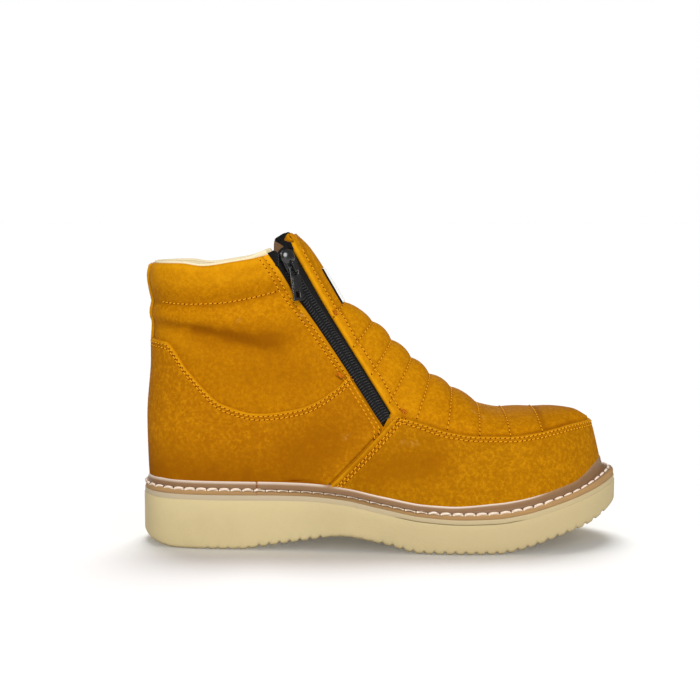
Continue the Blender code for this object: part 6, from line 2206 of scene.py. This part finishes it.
class SHOE_OT_stitches(bpy.types.Operator):
    """Sews the panels, the upper and the welt"""

    bl_idname = "shoe.stitches"
    bl_label = "Sew Stitches"

    def execute(self, context):
        sizes = context.scene.shoe_sizes
        on_panels = stitch_sizes(
            sizes.stitch_pitch,
            sizes.stitch_length,
            sizes.thread_radius,
            PANEL_RISE,
            PANEL_SLANT_DEG,
            sizes.hole_radius,
            PANEL_WANDER,
        )
        slant = math.radians(TACK_SLANT_DEG)
        as_tacks = {**on_panels, "Pitch": TACK_PITCH * MM, "Slant": slant, "Hole Radius": TACK_HOLE * MM}
        on_welt = stitch_sizes(
            sizes.welt_pitch,
            sizes.welt_stitch,
            sizes.welt_thread,
            WELT_RISE,
            WELT_SLANT_DEG,
            WELT_HOLE * MM,
            WELT_WANDER,
        )
        for name, paths, thread, values in (
            ("stitches_panels", panel_seams(), "Panel thread", on_panels),
            ("stitches_upper", upper_seams(OUTER) + upper_seams(INNER), "Panel thread", on_panels),
            ("stitches_tacks", tacks(OUTER) + tacks(INNER), "Tack thread", as_tacks),
            ("stitches_welt", [welt_shape().row], "Welt thread", on_welt),
        ):
            stitch_piece(name, paths, thread, "Stitch hole", values)
        return {"FINISHED"}


def light_group(name, things, state="INCLUDE"):
    """Things that a light falls on or is stopped by: these alone, or everything but these."""
    group = bpy.data.collections.new(name)
    for thing in things:
        group.objects.link(thing)
    for linked in group.collection_objects:
        linked.light_linking.link_state = state
    return group


def add_sun(sun, groups):
    """A wide soft light from far away, on the things of one light group."""
    data = bpy.data.lights.new(sun.name, "SUN")
    data.energy = sun.strength
    data.angle = math.radians(sun.spread_deg)
    made = add_object(sun.name, data)
    made.rotation_euler = (-Vector(sun.towards)).to_track_quat("-Z", "Y").to_euler()
    made.light_linking.receiver_collection = groups[sun.falls_on]
    made.light_linking.blocker_collection = groups[sun.stopped_by]


class SHOE_OT_stage(bpy.types.Operator):
    """Sets the pale floor, the soft light and the camera"""

    bl_idname = "shoe.stage"
    bl_label = "Set Stage"

    def execute(self, context):
        scene = context.scene
        scene.view_settings.view_transform = "Standard"
        world = bpy.data.worlds.new("Studio white")
        world.use_nodes = True
        net = Nodes(world.node_tree)
        seen = world.node_tree.nodes["Background"].inputs
        seen["Color"].default_value = (1.0, 1.0, 1.0, 1.0)
        by_camera = net.add("ShaderNodeLightPath")["Is Camera Ray"]
        net.link(net.remap(by_camera, 0.0, 1.0, ROOM_LIGHT, 1.0), seen["Strength"])
        scene.world = world
        mesh = bpy.data.meshes.new("floor")
        corners = ((-1, -1), (1, -1), (1, 1), (-1, 1))
        mesh.from_pydata([(x * FLOOR_HALF, y * FLOOR_HALF, 0) for x, y in corners], [], [(0, 1, 2, 3)])
        made, net, shader = finish("Pale floor", roughness=0.9)
        cloud = net.noise(net.stretched((2.0, 2.0, 2.0)), 1.0, 2.0)
        tone = net.mix(cloud, *((grey, grey, grey, 1.0) for grey in FLOOR_GREYS))
        net.link(tone, shader["Base Color"])
        mesh.materials.append(made)
        floor = add_object("floor", mesh)
        groups = {
            None: None,
            "shoe": light_group("Lit shoe", [floor], "EXCLUDE"),
            "floor": light_group("Lit floor", [floor]),
            "low pieces": light_group("Low pieces", [bpy.data.objects[name] for name in LOW_PIECES]),
        }
        for sun in SUNS:
            add_sun(sun, groups)
        camera = bpy.data.cameras.new("photo camera")
        camera.sensor_width = CAMERA_SENSOR
        camera.lens = CAMERA_LENS
        view = add_object("photo camera", camera)
        view.location = CAMERA_AT
        view.rotation_euler = (Vector(CAMERA_AIM) - Vector(CAMERA_AT)).to_track_quat("-Z", "Y").to_euler()
        scene.camera = view
        return {"FINISHED"}


class SHOE_PT_panel(bpy.types.Panel):
    """Lists the shoe's steps, sizes and colours"""

    bl_idname = "SHOE_PT_panel"
    bl_label = "Work Shoe"
    bl_space_type = "VIEW_3D"
    bl_region_type = "UI"
    bl_category = "Work Shoe"

    def draw(self, context):
        for step in STEPS:
            self.layout.operator(step.bl_idname)
        for group in (context.scene.shoe_sizes, context.scene.shoe_colours):
            for field in group.__annotations__:
                self.layout.prop(group, field)


STEPS = (
    SHOE_OT_finishes,
    SHOE_OT_upper,
    SHOE_OT_panels,
    SHOE_OT_sole,
    SHOE_OT_zips,
    SHOE_OT_stitches,
    SHOE_OT_stage,
)
CLASSES = (ShoeSizes, ShoeColours, *STEPS, SHOE_PT_panel)


def register():
    for kind in CLASSES:
        bpy.utils.register_class(kind)
    bpy.types.Scene.shoe_sizes = bpy.props.PointerProperty(type=ShoeSizes)
    bpy.types.Scene.shoe_colours = bpy.props.PointerProperty(type=ShoeColours)


def unregister():
    del bpy.types.Scene.shoe_sizes
    del bpy.types.Scene.shoe_colours
    for kind in reversed(CLASSES):
        bpy.utils.unregister_class(kind)


def main():
    register()
    bpy.ops.shoe.finishes()
    bpy.ops.shoe.upper()
    bpy.ops.shoe.panels()
    bpy.ops.shoe.sole()
    bpy.ops.shoe.zips()
    bpy.ops.shoe.stitches()
    bpy.ops.shoe.stage()


if __name__ == "__main__":
    main()
